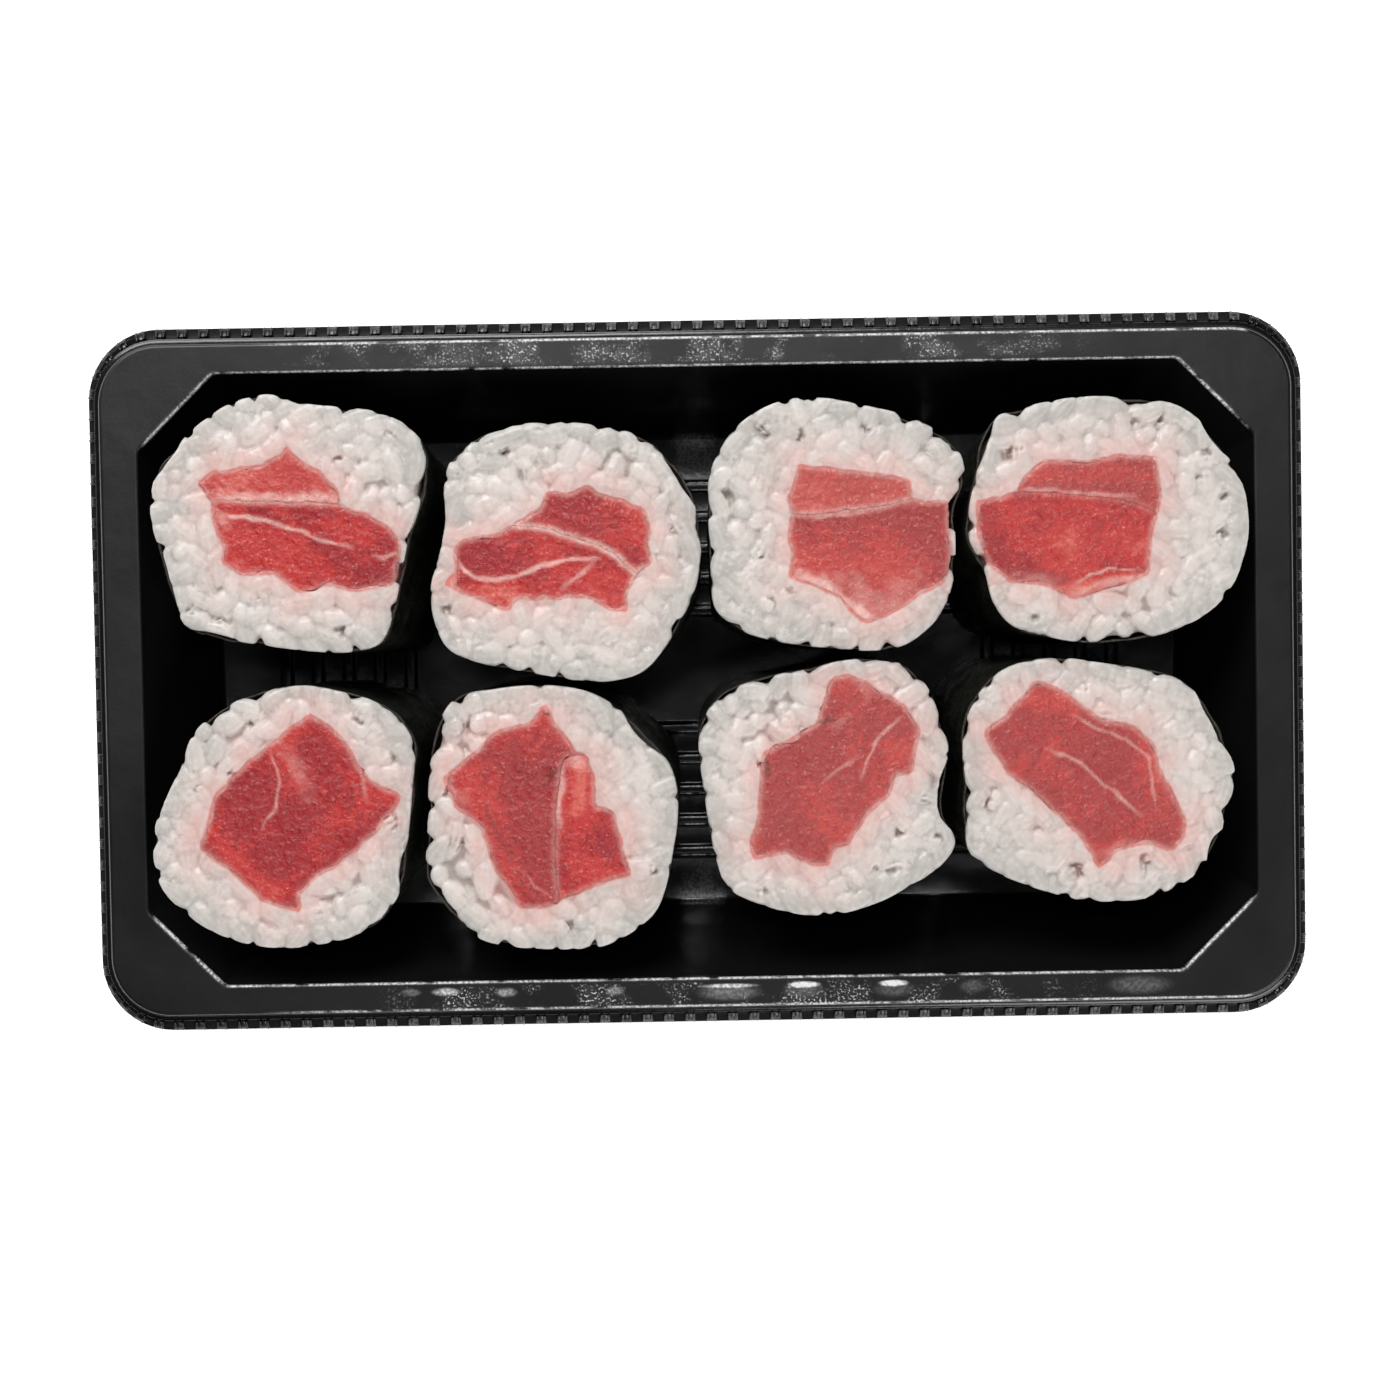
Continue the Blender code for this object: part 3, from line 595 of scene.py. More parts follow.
# Lines of sinew and fat on each cut: half width, strength and points
LINES = {
    "1a": [(0.9, 0.75, [(-66, 24.8), (-62, 24.8), (-56, 24.6), (-52, 24.7), (-48, 25)]),
           (0.25, 0.6, [(-65.5, 26.8), (-64, 25.6), (-62.8, 24.6)]),
           (0.25, 0.5, [(-64, 27.2), (-62.8, 26), (-61.5, 25.2)])],
    "1b": [(0.28, 0.8, [(-65.5, 22.8), (-62, 22.3), (-58, 21.8), (-56, 21), (-54, 20.3), (-50.5, 18.9),
            (-47, 18)]), (0.3, 0.8, [(-44, 17), (-42.5, 16.6), (-40.5, 17.2), (-39.8, 18)]),
           (0.5, 0.6, [(-66, 23.6), (-64.5, 22.3), (-63.5, 21)])],
    "2b": [(0.3, 0.85, [(-32.8, 16.5), (-31.5, 14.5), (-29, 13.3), (-27, 13.2), (-24, 13.9), (-21.5, 15),
            (-19, 15.6), (-17, 16), (-13, 15.8)]),
           (0.28, 0.75, [(-14, 15.5), (-16, 13.8), (-17.5, 12.6), (-18.5, 11.8)]),
           (1.6, 0.4, [(-9, 10), (-7.5, 12), (-7, 14)])],
    "3b": [(1, 1, [(12.9, 13.4), (16.1, 12.3), (18.7, 10.9), (20.8, 8.9), (23.1, 7.1), (24.9, 6.9)]),
           (2.2, 0.35, [(20, 11.5), (22.5, 9), (25.5, 8.3), (29, 10.5)]),
           (0.3, 0.55, [(13, 21), (19, 21.2), (24, 21.7)])],
    "4a": [(0.3, 0.5, [(43.6, 24.4), (46.5, 24.2), (51.4, 23.8), (59.7, 22.9)])],
    "4b": [(0.6, 0.6, [(50.2, 9.5), (54.3, 11), (58.2, 11.9), (61, 12.3)]),
           (1.3, 0.3, [(43, 12.2), (47, 11.6), (50, 10.3)]),
           (0.22, 0.9, [(51.5, 11.3), (53.5, 12.8), (56, 13.3), (60, 13.3)])],
    "5": [(0.22, 0.5, [(-59, -9), (-58, -11.5), (-57.5, -14), (-58, -17), (-59.5, -19.5), (-60, -20.5)]),
          (1.2, 0.25, [(-57, -9), (-55, -12), (-54, -15)]),
          (0.3, 0.4, [(-47, -10), (-46, -14), (-45.5, -17)])],
    "6a": [(0.2, 0.35, [(-25, -26), (-23, -28.5), (-20.5, -30)]),
           (1, 0.5, [(-35, -13.5), (-34, -15.5), (-33, -17)])],
    "6b": [(0.5, 0.75, [(-18.5, -11.3), (-19.2, -15), (-19.5, -18), (-19.4, -21)]),
           (1, 0.9, [(-18.2, -11.4), (-16.8, -11.4), (-15.4, -11.8)])],
    "7": [(0.22, 0.6, [(28, -6), (26, -7.5), (24, -9.5), (23, -11.5), (22.5, -13), (22, -15)]),
          (0.2, 0.4, [(21.5, -11.5), (18.5, -13.5), (16, -15.5)]), (0.7, 0.5, [(21.5, -1.5), (23, -3)]),
          (0.45, 0.4, [(18, -7.3), (20.5, -6.3)])],
    "8": [(0.22, 0.55, [(47, -11), (51.5, -13), (55, -16), (58, -18.5), (60, -20.5)]),
          (0.22, 0.5, [(50.5, -6.5), (54.5, -8.6), (58, -9.8), (61, -12.5), (61.5, -16), (62, -19.5)]),
          (0.9, 0.4, [(54.5, -25.5), (58, -24.4)])],
}
# How pale the line is where a roll's two cuts meet
SEAMS = {1: 0.6, 2: 1.0, 3: 0.6, 4: 0.2, 6: 0.3}
# Lighter and darker flesh on each cut, and the painted shade of dark gaps in it (the strongest darkenings)
# and of a shadow along the top of 3a: half width, change of tone and points
TONES_AND_GAP_SHADE = {
    "1a": [(2, 0.3, [(-65, 27), (-63, 25)])],
    "1b": [(1.2, -0.35, [(-60, 22.6), (-50, 22.9)]), (2.2, 0.15, [(-62.5, 20), (-59, 19)]),
           (1.3, -0.45, [(-51.5, 18.6), (-48, 16.3)]), (2.4, -0.55, [(-46.5, 14), (-42, 14.5)]),
           (2, 0.25, [(-54, 14), (-55, 17)])],
    "2a": [(3, -0.35, [(-19, 22.5), (-15, 24)]), (2, 0.35, [(-8.5, 22), (-8, 19)])],
    "2b": [(3, -0.6, [(-31, 17.5), (-28, 16)]), (1.8, 0.5, [(-29.5, 12), (-26, 11), (-25, 10.5)])],
    # A painted shadow along the cut's top edge
    "3a": [(0.3, -0.5, [(19, 27.2), (22, 26.6), (28, 26)])],
    "3b": [(1.5, -0.35, [(15, 20.4), (31, 21)]), (1.8, 0.35, [(14, 14.8), (24, 13.8), (27, 12)]),
           (2, -0.3, [(33, 19), (33, 14)]),
           (0.3, -0.9, [(12.7, 12.7), (15.5, 11.5), (19, 10.1), (21, 7.7), (22.8, 6.3)])],
    "4a": [(0.8, -0.35, [(45, 24.8), (60, 24)]), (2, 0.25, [(44.5, 25.5), (47, 27.5)])],
    "4b": [(2.5, -0.3, [(39, 20), (41, 16)]), (2.5, 0.35, [(49, 17), (59, 16)]),
           (1, -0.35, [(39.5, 14.3), (46, 12.8), (50, 12)]),
           (0.8, 0.8, [(51.5, 10.2), (55.5, 11.8), (60, 12)])],
    "5": [(2, 0.45, [(-54.5, -5.5), (-57, -8), (-56, -12)]), (2.5, -0.35, [(-62, -14), (-62, -19)]),
          (2.5, -0.25, [(-55, -18), (-57, -24)]), (1.5, 0.5, [(-66.5, -21), (-62, -26), (-58, -29)]),
          (2.2, 0.3, [(-46, -15), (-43.5, -15.5)]), (0.75, -2, [(-43.2, -19.9), (-42.2, -18.9)]),
          (0.35, -1.5, [(-64.7, -12.9), (-63.3, -12)])],
    "6a": [(2.5, -0.45, [(-24, -14), (-21, -13)]), (2.5, 0.35, [(-22, -5), (-24, -7)]),
           (2, 0.3, [(-33, -13), (-29, -20), (-26, -27)]), (2, -0.3, [(-21, -21), (-19, -26)]),
           (0.3, -0.6, [(-29.5, -17.5), (-28, -21), (-26, -25)])],
    "6b": [(1.5, 0.9, [(-16, -12), (-16.5, -17)]), (2, -0.2, [(-12.5, -19), (-11.5, -25)])],
    "7": [(2.5, -0.35, [(17, -8), (12, -13), (10, -19)]), (1.5, 0.4, [(26.5, -11), (24, -17)]),
          (2, 0.25, [(18.5, -3), (24, -3)]), (0.35, -1.2, [(16.2, -6.9), (18.3, -6.3)]),
          (0.45, -1.3, [(8.7, -11.6), (9.1, -13.8)])],
    "8": [(2, 0.55, [(45, -4), (50, -4.5)]), (2.5, -0.25, [(52, -11), (58, -17)]),
          (1.2, 0.35, [(60, -10), (63, -17)]), (1.2, 0.4, [(54, -24.5), (57, -25)]),
          (0.35, -1.5, [(54, -6.5), (55.5, -6.9), (57, -7.2)])],
}


def from_line(points, line, closed=False):
    """Each point's distance from a line, and the nearest place on it."""
    line = np.asarray(line, float)
    ends = np.roll(line, -1, axis=0) if closed else line[1:]
    starts = line if closed else line[:-1]
    span = ends - starts
    along = np.einsum("pij,ij->pi", points[:, None] - starts, span) / np.maximum((span**2).sum(1), 1e-12)
    near = starts + np.clip(along, 0, 1)[..., None] * span
    away = np.linalg.norm(points[:, None] - near, axis=2)
    best = away.argmin(axis=1)
    rows_of = np.arange(len(points))
    return away[rows_of, best], near[rows_of, best]


def within(points, ring):
    """True for each point inside a closed ring."""
    x, y = points[:, 0][:, None], points[:, 1][:, None]
    x0, y0 = ring[:, 0], ring[:, 1]
    x1, y1 = np.roll(x0, -1), np.roll(y0, -1)
    rise = np.where(y1 == y0, 1e-12, y1 - y0)
    crosses = ((y0 > y) != (y1 > y)) & (x < x0 + (y - y0) * (x1 - x0) / rise)
    return crosses.sum(axis=1) % 2 == 1


def ragged_ring(corners, spacing, seed):
    """A cut edge through the corners: a little rounded and a little uneven."""
    length = np.linalg.norm(corners - np.roll(corners, -1, axis=0), axis=1).sum()
    ring = even_ring(corners, int(length / spacing))
    for _ in range(2):
        ring = (np.roll(ring, 1, axis=0) + 2 * ring + np.roll(ring, -1, axis=0)) / 4
    uneven = 0.3 * ripple(at_zero(ring), 2.4, seed) + 0.16 * ripple(at_zero(ring), 0.8, seed + 9)
    return ring + inwards(ring) * uneven[:, None]


def roll_of(name):
    """The number of the roll that a cut of tuna lies in."""
    return int(name[0])


def meeting(ring, others):
    """The ring with its edge moved half way to the next cut where the two lie close together."""
    for other in others:
        away, near = from_line(ring, other, True)
        share = (np.clip(0.5 - MEETING_GAP / np.maximum(away, 2 * MEETING_GAP), 0, 0.5)
                 * np.clip((MEETING_REACH - away) / 0.6, 0, 1))
        ring = ring + (near - ring) * share[:, None]
    return ring


def filled(ring, spacing, holes=()):
    """Flat points and triangles that fill a ring around its holes, each ring's own points first."""
    low, high = ring.min(axis=0), ring.max(axis=0)
    xs, ys = np.arange(low[0], high[0], spacing), np.arange(low[1], high[1], spacing * 0.866)
    grid = np.array([(x + spacing / 2 * (row % 2), y) for row, y in enumerate(ys) for x in xs])
    keep = within(grid, ring) & (from_line(grid, ring, True)[0] > spacing * 0.55)
    for hole in holes:
        keep &= ~within(grid, hole) & (from_line(grid, hole, True)[0] > spacing * 0.55)
    points, edges = [], []
    for loop in (ring, *holes):
        start = len(points)
        points += [Vector(p) for p in loop]
        edges += [(start + i, start + (i + 1) % len(loop)) for i in range(len(loop))]
    points += [Vector(p) for p in grid[keep]]
    verts, _, tris, *_ = delaunay_2d_cdt(points, edges, [], 1, 1e-5)
    verts = np.array([tuple(v) for v in verts])
    tris = np.array(tris)
    for hole in holes:
        tris = tris[~within(verts[tris].mean(axis=1), hole)]
    return verts, tris


def tuna_finish():
    made, tree, shader, place = blank_finish("raw_tuna")
    fat, tone, pale = (stored(tree, name) for name in ("fat", "tone", "pale"))
    flow = node(tree, "ShaderNodeAttribute", attribute_name="flow").outputs["Vector"]
    streak = patches(flow, 1.7, 0.3, 0.7)
    mottle = patches(place, 0.8, 0.3, 0.72)
    cloud = patches(place, 6.0, 0.25, 0.75)
    shade = plus(tone, times(streak, 0.22), times(cloud, 0.36), times(mottle, 0.28),
                 -0.44)
    colour = tint(ramp(shade, 0.0, 0.5), TUNA_DARK, TUNA_RED)
    colour = tint(ramp(shade, 0.5, 1.0), colour, TUNA_LIGHT)
    # Tones below the flesh's own range turn towards the painted shade of gaps
    colour = tint(ramp(shade, -0.15, -0.8), colour, TUNA_GAP_SHADE)
    colour = tint(pale, colour, TUNA_PALE)
    # Painted highlights of the wet shine: small pale specks in patches
    glint_specks = times(patches(place, 0.55, 0.6, 0.72), patches(place, 5.0, 0.42, 0.62), 0.3)
    colour = tint(glint_specks, colour, SINEW)
    colour = tint(fat, colour, SINEW)
    rough = plus(0.22, times(patches(place, 1.2, 0.3, 0.7), 0.22))
    grain = relief(patches(flow, 1.5, 0.1, 0.9), 0.00013)
    pores = relief(patches(place, 0.9, 0.35, 0.8), 0.0002, grain)
    feed(tree, shader, {"Base Color": colour, "Roughness": rough, "Normal": pores, "IOR": 1.4,
                        "Subsurface Weight": 0.25, "Subsurface Radius": (1.0, 0.25, 0.2),
                        "Subsurface Scale": 0.0008})
    return made


def drawn_on(name, flat, order):
    """The fat, and the change of tone with the painted shade of gaps, that a cut's lines and tone marks give
    each point, a little uneven.
    """
    space = at_zero(flat)
    sway = swayed(space, 2.0, order + 50)
    uneven = 1 + 0.7 * ripple(space, 1.5, order + 70)
    fat, tone_marks_and_gap_shade = np.zeros(len(flat)), np.zeros(len(flat))
    for half_width, strength, line in LINES.get(name, []):
        away = from_line(flat + 0.35 * sway, line)[0] / (half_width * uneven)
        ends = [np.linalg.norm(flat - end, axis=1) for end in (line[0], line[-1])]
        thinned = np.clip(0.25 + np.min(ends, axis=0) / 3.0, 0, 1)
        fat = np.maximum(fat, strength * thinned * np.exp(-(away ** 3)))
    for half_width, change, line in TONES_AND_GAP_SHADE.get(name, []):
        tone_marks_and_gap_shade += change * np.exp(-((from_line(flat + 0.4 * sway, line)[0] / half_width) ** 2))
    return fat, tone_marks_and_gap_shade


raw_tuna = tuna_finish()
cut_rings = {number: [] for number in ROLLS}
ragged = {name: ragged_ring(outline_of(f"tuna_{name}", TUNA_TOP), TUNA_MESH, order)
          for order, name in enumerate(CUT_LOOK)}
for order, (name, (sunk, degrees, shade, pale)) in enumerate(CUT_LOOK.items()):
    number = roll_of(name)
    others = [r for n, r in ragged.items() if roll_of(n) == number and n != name]
    ring = meeting(ragged[name], others)
    cut_rings[number].append(ring)
    flat, tris = filled(ring, TUNA_MESH)
    rim = len(ring)
    flat3 = at_zero(flat)
    edge = from_line(flat, ring, True)[0]
    # The grain runs along the cut, and a piece's edge is free where no other cut lies against it
    turn = math.radians(degrees)
    along = flat @ (math.cos(turn), math.sin(turn))
    across = flat @ (-math.sin(turn), math.cos(turn))
    flow = np.column_stack([along * 0.5, across, flat[:, 0] * 0])
    beside = [from_line(flat, other, True)[0] for other in others]
    apart = np.min(beside, axis=0) if beside else np.full(len(flat), 9.0)
    free = np.clip((apart - FREE_FROM) / FREE_OVER, 0, 1)
    # Fat on the drawn lines, along the seam of two cuts and, thinly, along a free edge
    fat, tone_marks_and_gap_shade = drawn_on(name, flat, order)
    seam = np.exp(-((edge / SEAM_WIDTH) ** 2)) * np.clip((SEAM_REACH - apart) / 0.5, 0, 1)
    fat = np.maximum(fat, SEAMS.get(number, 0) * seam)
    fat *= 0.85 + 0.35 * ripple(flat3, 1.2, order)
    fat = np.maximum(fat, EDGE_FAT * np.exp(-((edge / TUNA_EDGE) ** 2)) * free)
    # The cut face: rounded off at the free edge, a little sunk and wavy
    drop = TUNA_EDGE - np.sqrt(np.clip(TUNA_EDGE**2 - np.clip(TUNA_EDGE - edge, 0, None) ** 2, 0, None))
    heights = (TUNA_TOP - FACE_DEPTH + 0.02 * fat + 0.12 * ripple(flat3, 4.5, number)
               - free * (sunk * 0.4 + drop * 0.4 + 0.12 * ripple(flow, 1.3, order)))
    heights = np.minimum(heights, TUNA_TOP)
    top = np.column_stack([flat, heights])
    foot = np.column_stack([lean(flat[:rim], TUNA_TOP, TUNA_BOTTOM), np.full(rim, TUNA_BOTTOM)])
    total = len(flat)
    faces = [tuple(t) for t in tris]
    faces += [(i, total + i, total + (i + 1) % rim, (i + 1) % rim) for i in range(rim)]
    faces.append([total + i for i in range(rim)][::-1])
    piece = plain_object(f"tuna_{name}_cut", np.vstack([top, foot]), faces)
    give_values(piece, "fat", np.concatenate([np.clip(fat, 0, 1), np.zeros(rim)]))
    give_values(piece, "pale", np.full(total + rim, pale))
    light = 0.38 + 0.35 * shade + 0.2 * ripple(flat3, 4.0, order + 30) + 0.8 * tone_marks_and_gap_shade
    give_values(piece, "tone", np.concatenate([light, np.full(rim, 0.3)]))
    give_values(piece, "flow", np.vstack([flow, flow[:rim]]) * MM, "FLOAT_VECTOR")
    piece.data.materials.append(raw_tuna)
    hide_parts(f"tuna_{name}")
    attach(piece, "root")

# The rice: steamed short grains pressed round the tuna, sticky and a little see-through. The grains are
# laid over a pressed core, evenly spread, most of them flat and some on end, and the knife levelled them.
GRAIN_LENGTH, GRAIN_WIDTH = 5.6, 3.3
CORE_TOP, RICE_TOP, LEVEL = 25.8, 27.2, 26.95
RICE_BOTTOM, SLAB_BOTTOM = 1.9, 24.2
CORE_MESH, FUSED_MESH = 3.0, 0.24
# Small gaps between each roll's grains, dug and painted dark as shade: place and radius
GAPS = {
    1: [(-48.6, 29.8, 0.5), (-59.8, 11.3, 0.4), (-48.7, 6.6, 0.6), (-65, 8, 0.7), (-69, 9.5, 0.5),
        (-41.3, 33.3, 0.6)],
    2: [(-26, 30.6, 0.5), (-27.9, 31.8, 0.4), (-32.3, 27.6, 0.4), (-2.9, 19.8, 0.5), (-34.3, 9.4, 0.6),
        (-21, 33.4, 0.4)],
    3: [(8.8, 33.4, 0.6), (9.6, 32.7, 0.5), (23, 33, 0.5), (14.3, 32.2, 0.6), (9.8, 9.4, 0.6),
        (12.8, 11.3, 0.5), (4.2, 24.3, 0.5), (8.5, 16.2, 0.5)],
    4: [(42.6, 29.4, 0.8), (43.8, 29.7, 0.5), (59.8, 33.2, 0.5), (63, 33.8, 0.5), (69.3, 28.7, 0.6),
        (68.6, 25.5, 0.5), (71.5, 17.8, 0.5), (71.6, 22.8, 0.5), (46, 6.8, 0.5)],
    5: [(-61.2, -6, 0.4), (-41.9, -10.8, 0.5), (-46.5, -5.5, 0.6), (-52.5, -32, 0.5), (-68.5, -14.5, 0.4),
        (-40.2, -22.2, 0.5), (-42.4, -19.4, 0.9), (-64.2, -12.4, 0.5)],
    6: [(-31.5, -6.6, 0.6), (-33.3, -22.6, 0.8), (-6.8, -26.7, 0.5), (-18.5, -34.3, 0.6),
        (-34.5, -15.5, 0.5)],
    7: [(11.9, -6.5, 0.5), (23.5, -27, 0.4), (25.9, -26.8, 0.7), (27, -22, 0.6), (32.3, -22.8, 0.6),
        (30.4, -17.7, 0.5), (17, -6.7, 0.6), (8.4, -12.2, 0.6), (8, -30, 0.6)],
    8: [(55.5, -6.9, 0.7), (39.2, -18.5, 0.7), (51.2, -27.8, 0.8), (60.4, -26.6, 0.7), (52.6, -2.8, 0.4)],
}
# Where each roll's rice stops short of the seaweed's edge: place and radius
BARE = {
    1: [(-71.5, 30, 3), (-72, 14, 5), (-66, 5, 3)],
    2: [(-2, 27.5, 4), (-28, 35.5, 2)],
    4: [(38.5, 31, 3), (71, 31, 3)],
    5: [(-40, -26, 2.5)],
    6: [(-6, -7, 4)],
    7: [(33.5, -17, 4)],
    8: [(69.5, -8, 4.5), (69.8, -24.5, 2)],
}
BARE_WIDTH = 0.9
# How far the knife moves what stands above and below its level, and from what height on
PRESSED_ABOVE, PRESSED_BELOW, PRESSED_FROM = 0.65, 0.95, 25
# Depth under the knife's level before and after the grains were pressed flat
LEVELLED = (-0.5, 0.0, 0.85, 2.0, 30.0), (-0.25, 0.0, 0.42, 1.8, 29.8)
# Two layers of grains: depth, area for each grain and how far they stay inside the seaweed
LAYERS = (0.0, 6.6, 0.2), (0.9, 8.0, 0.65)
SPREAD_GRID, SPREAD_ROUNDS, SPREAD_SCATTER = 0.45, 7, 0.22
ON_END, ON_END_SINK, EDGE_ZONE, ALONG_EDGE = 0.4, 0.9, 2.0, 2.6
# Beside the tuna: the height that the rice rises to, how far out it rises, and how far its stain reaches
RISE_TOP, RISE_REACH, STAIN_REACH = 26.98, 1.2, 3.2
RICE_WHITE = (0.76, 0.70, 0.66)
RICE_CORE_AND_HIGHLIGHT = (0.88, 0.83, 0.79)
RICE_GREY = (0.50, 0.485, 0.455)
RICE_CREASE_SHADE = (0.46, 0.40, 0.37)
RICE_PIT_SHADE = (0.22, 0.17, 0.14)
RICE_PINK = (0.80, 0.49, 0.45)


def grain_shape():
    """A plump, slightly bent grain of rice of unit half sizes, along X."""
    bm = bmesh.new()
    bmesh.ops.create_uvsphere(bm, u_segments=10, v_segments=7, radius=1.0,
                              matrix=Matrix.Rotation(math.pi / 2, 4, "Y"))
    for vert in bm.verts:
        x, y, z = vert.co
        blunt = 1.0 + 0.10 * (1 - x * x) * x
        vert.co = (x * (1 - 0.04 * x), y * blunt, (z + 0.16 * x * x - 0.06) * blunt)
    mesh = bpy.data.meshes.new("grain")
    bm.to_mesh(mesh)
    bm.free()
    mesh.polygons.foreach_set("use_smooth", [True] * len(mesh.polygons))
    return bpy.data.objects.new("grain", mesh)


def grain_tree():
    """Lays a grain on each point, turned by its heading, with its own size, roll, lean and tone."""
    tree, given, out = geometry_tree("Laid grains", [
        ("Grain", "Object"), ("Core", "Object"), ("Length", "Float"), ("Width", "Float"),
        ("Smallest", "Float"), ("Largest", "Float"), ("Seed", "Int"), ("Rice", "Material")])
    heading, tip = (node(tree, "GeometryNodeInputNamedAttribute", {"Name": name}, data_type="FLOAT")
                    for name in ("heading", "tip"))
    roll = node(tree, "FunctionNodeRandomValue", {2: 0.0, 3: 6.283, "Seed": given["Seed"]}, data_type="FLOAT")
    pose = node(tree, "ShaderNodeCombineXYZ", {"X": roll.outputs[1], "Y": tip, "Z": heading})
    sizes = {0: given["Smallest"], 1: given["Largest"], "Seed": given["Seed"]}
    spread = node(tree, "FunctionNodeRandomValue", sizes, data_type="FLOAT_VECTOR")
    half = node(tree, "ShaderNodeCombineXYZ",
                {"X": given["Length"], "Y": given["Width"], "Z": given["Width"]})
    size = node(tree, "ShaderNodeVectorMath", {0: spread, 1: half}, operation="MULTIPLY")
    shape = node(tree, "GeometryNodeObjectInfo", {"Object": given["Grain"]})
    laid = node(tree, "GeometryNodeInstanceOnPoints",
                {"Points": given["Geometry"], "Instance": shape.outputs["Geometry"], "Rotation": pose,
                 "Scale": size})
    chance = node(tree, "FunctionNodeRandomValue", {2: 0.0, 3: 1.0, "Seed": given["Seed"]}, data_type="FLOAT")
    toned = node(tree, "GeometryNodeStoreNamedAttribute",
                 {"Geometry": laid, "Name": "tone", "Value": chance.outputs[1]}, data_type="FLOAT",
                 domain="INSTANCE")
    core = node(tree, "GeometryNodeObjectInfo", {"Object": given["Core"]})
    finished(tree, out, given["Rice"], toned.outputs[0], core.outputs["Geometry"])
    return tree


def positions(obj):
    """The mesh's points, in millimetres."""
    co = np.zeros(len(obj.data.vertices) * 3)
    obj.data.vertices.foreach_get("co", co)
    return co.reshape(-1, 3) / MM


def kept_inside(points, ring):
    """The points, with those outside a ring brought to its edge."""
    near = from_line(points, ring, True)[1]
    return np.where(within(points, ring)[:, None], points, near)


def hollows(obj, co):
    """How far each point lies below the middle of its neighbours, in millimetres: more than 0 in a crease."""
    pairs = np.zeros(len(obj.data.edges) * 2, np.int32)
    obj.data.edges.foreach_get("vertices", pairs)
    pairs = pairs.reshape(-1, 2)
    sums, many = np.zeros_like(co), np.zeros(len(co))
    for a, b in (pairs.T, pairs.T[::-1]):
        np.add.at(sums, a, co[b])
        np.add.at(many, a, 1)
    normals = np.zeros(len(co) * 3)
    obj.data.vertices.foreach_get("normal", normals)
    return np.einsum("ij,ij->i", sums / np.maximum(many, 1)[:, None] - co, normals.reshape(-1, 3))


def block(name, flat, tris, top_z, foot_z):
    """A closed block over flat triangles drawn at the rice's top, between two heights."""
    total = len(flat)
    top, foot = (np.column_stack([lean(flat, RICE_TOP, z), np.full(total, z)]) for z in (top_z, foot_z))
    edges = {(int(t[i]), int(t[(i + 1) % 3])) for t in tris for i in range(3)}
    faces = [tuple(t) for t in tris] + [tuple(total + t[::-1]) for t in tris]
    faces += [(a, total + a, total + b, b) for a, b in sorted(edges) if (b, a) not in edges]
    return plain_object(name, np.vstack([top, foot]), faces)


def spread_points(ring, holes, cell, seed):
    """Evenly spread points inside a ring and outside its holes, one for each cell of that area."""
    draw = np.random.default_rng(seed)
    low, high = ring.min(axis=0), ring.max(axis=0)
    xs, ys = np.meshgrid(*(np.arange(low[axis], high[axis], SPREAD_GRID) for axis in (0, 1)))
    field = np.column_stack([xs.ravel(), ys.ravel()])
    field = field[within(field, ring)]
    for hole in holes:
        field = field[~within(field, hole)]
    middles = field[draw.choice(len(field), int(len(field) * SPREAD_GRID**2 / cell), replace=False)]
    for _ in range(SPREAD_ROUNDS):
        nearest = np.linalg.norm(field[:, None] - middles, axis=2).argmin(axis=1)
        for i in range(len(middles)):
            own = field[nearest == i]
            if len(own):
                middles[i] = own.mean(axis=0)
    return middles + draw.normal(0, SPREAD_SCATTER, middles.shape)


def rice_finish():
    made, tree, shader, place = blank_finish("steamed_rice")
    tone, stain, deep, crease_depth = (stored(tree, name) for name in ("tone", "stain", "deep", "crease_depth"))
    cloudy = plus(times(ramp(tone, 0.3, 1.3), 0.65),
                  times(patches(place, 2.2, 0.4, 0.7), 0.3))
    colour = tint(cloudy, RICE_WHITE, RICE_GREY)
    colour = tint(stain, colour, RICE_PINK)
    colour = tint(ramp(stain, 0.7, 1.0, 0.0, 0.7), colour, TUNA_LIGHT)
    # Painted highlight on the grains' ridges, partly their milky cores, and painted shade in the creases
    # between them
    colour = tint(times(ramp(crease_depth, 0.0, -0.8), 0.25), colour, RICE_CORE_AND_HIGHLIGHT)
    colour = tint(times(ramp(crease_depth, 0.0, 1.0), 0.2), colour, RICE_CREASE_SHADE)
    # Painted shade in pits and gaps, dark red next to the tuna
    colour = tint(times(deep, 0.75), colour, tint(stain, RICE_PIT_SHADE, TUNA_DARK))
    rough = plus(0.17, times(patches(place, 1.5, 0.3, 0.7), 0.18))
    dimple = relief(patches(place, 0.9, 0.2, 0.8), 0.00005)
    feed(tree, shader, {"Base Color": colour, "Roughness": rough, "Normal": dimple, "IOR": 1.42,
                        "Subsurface Weight": 0.7, "Subsurface Radius": (1.0, 0.93, 0.88),
                        "Subsurface Scale": 0.0016})
    return made


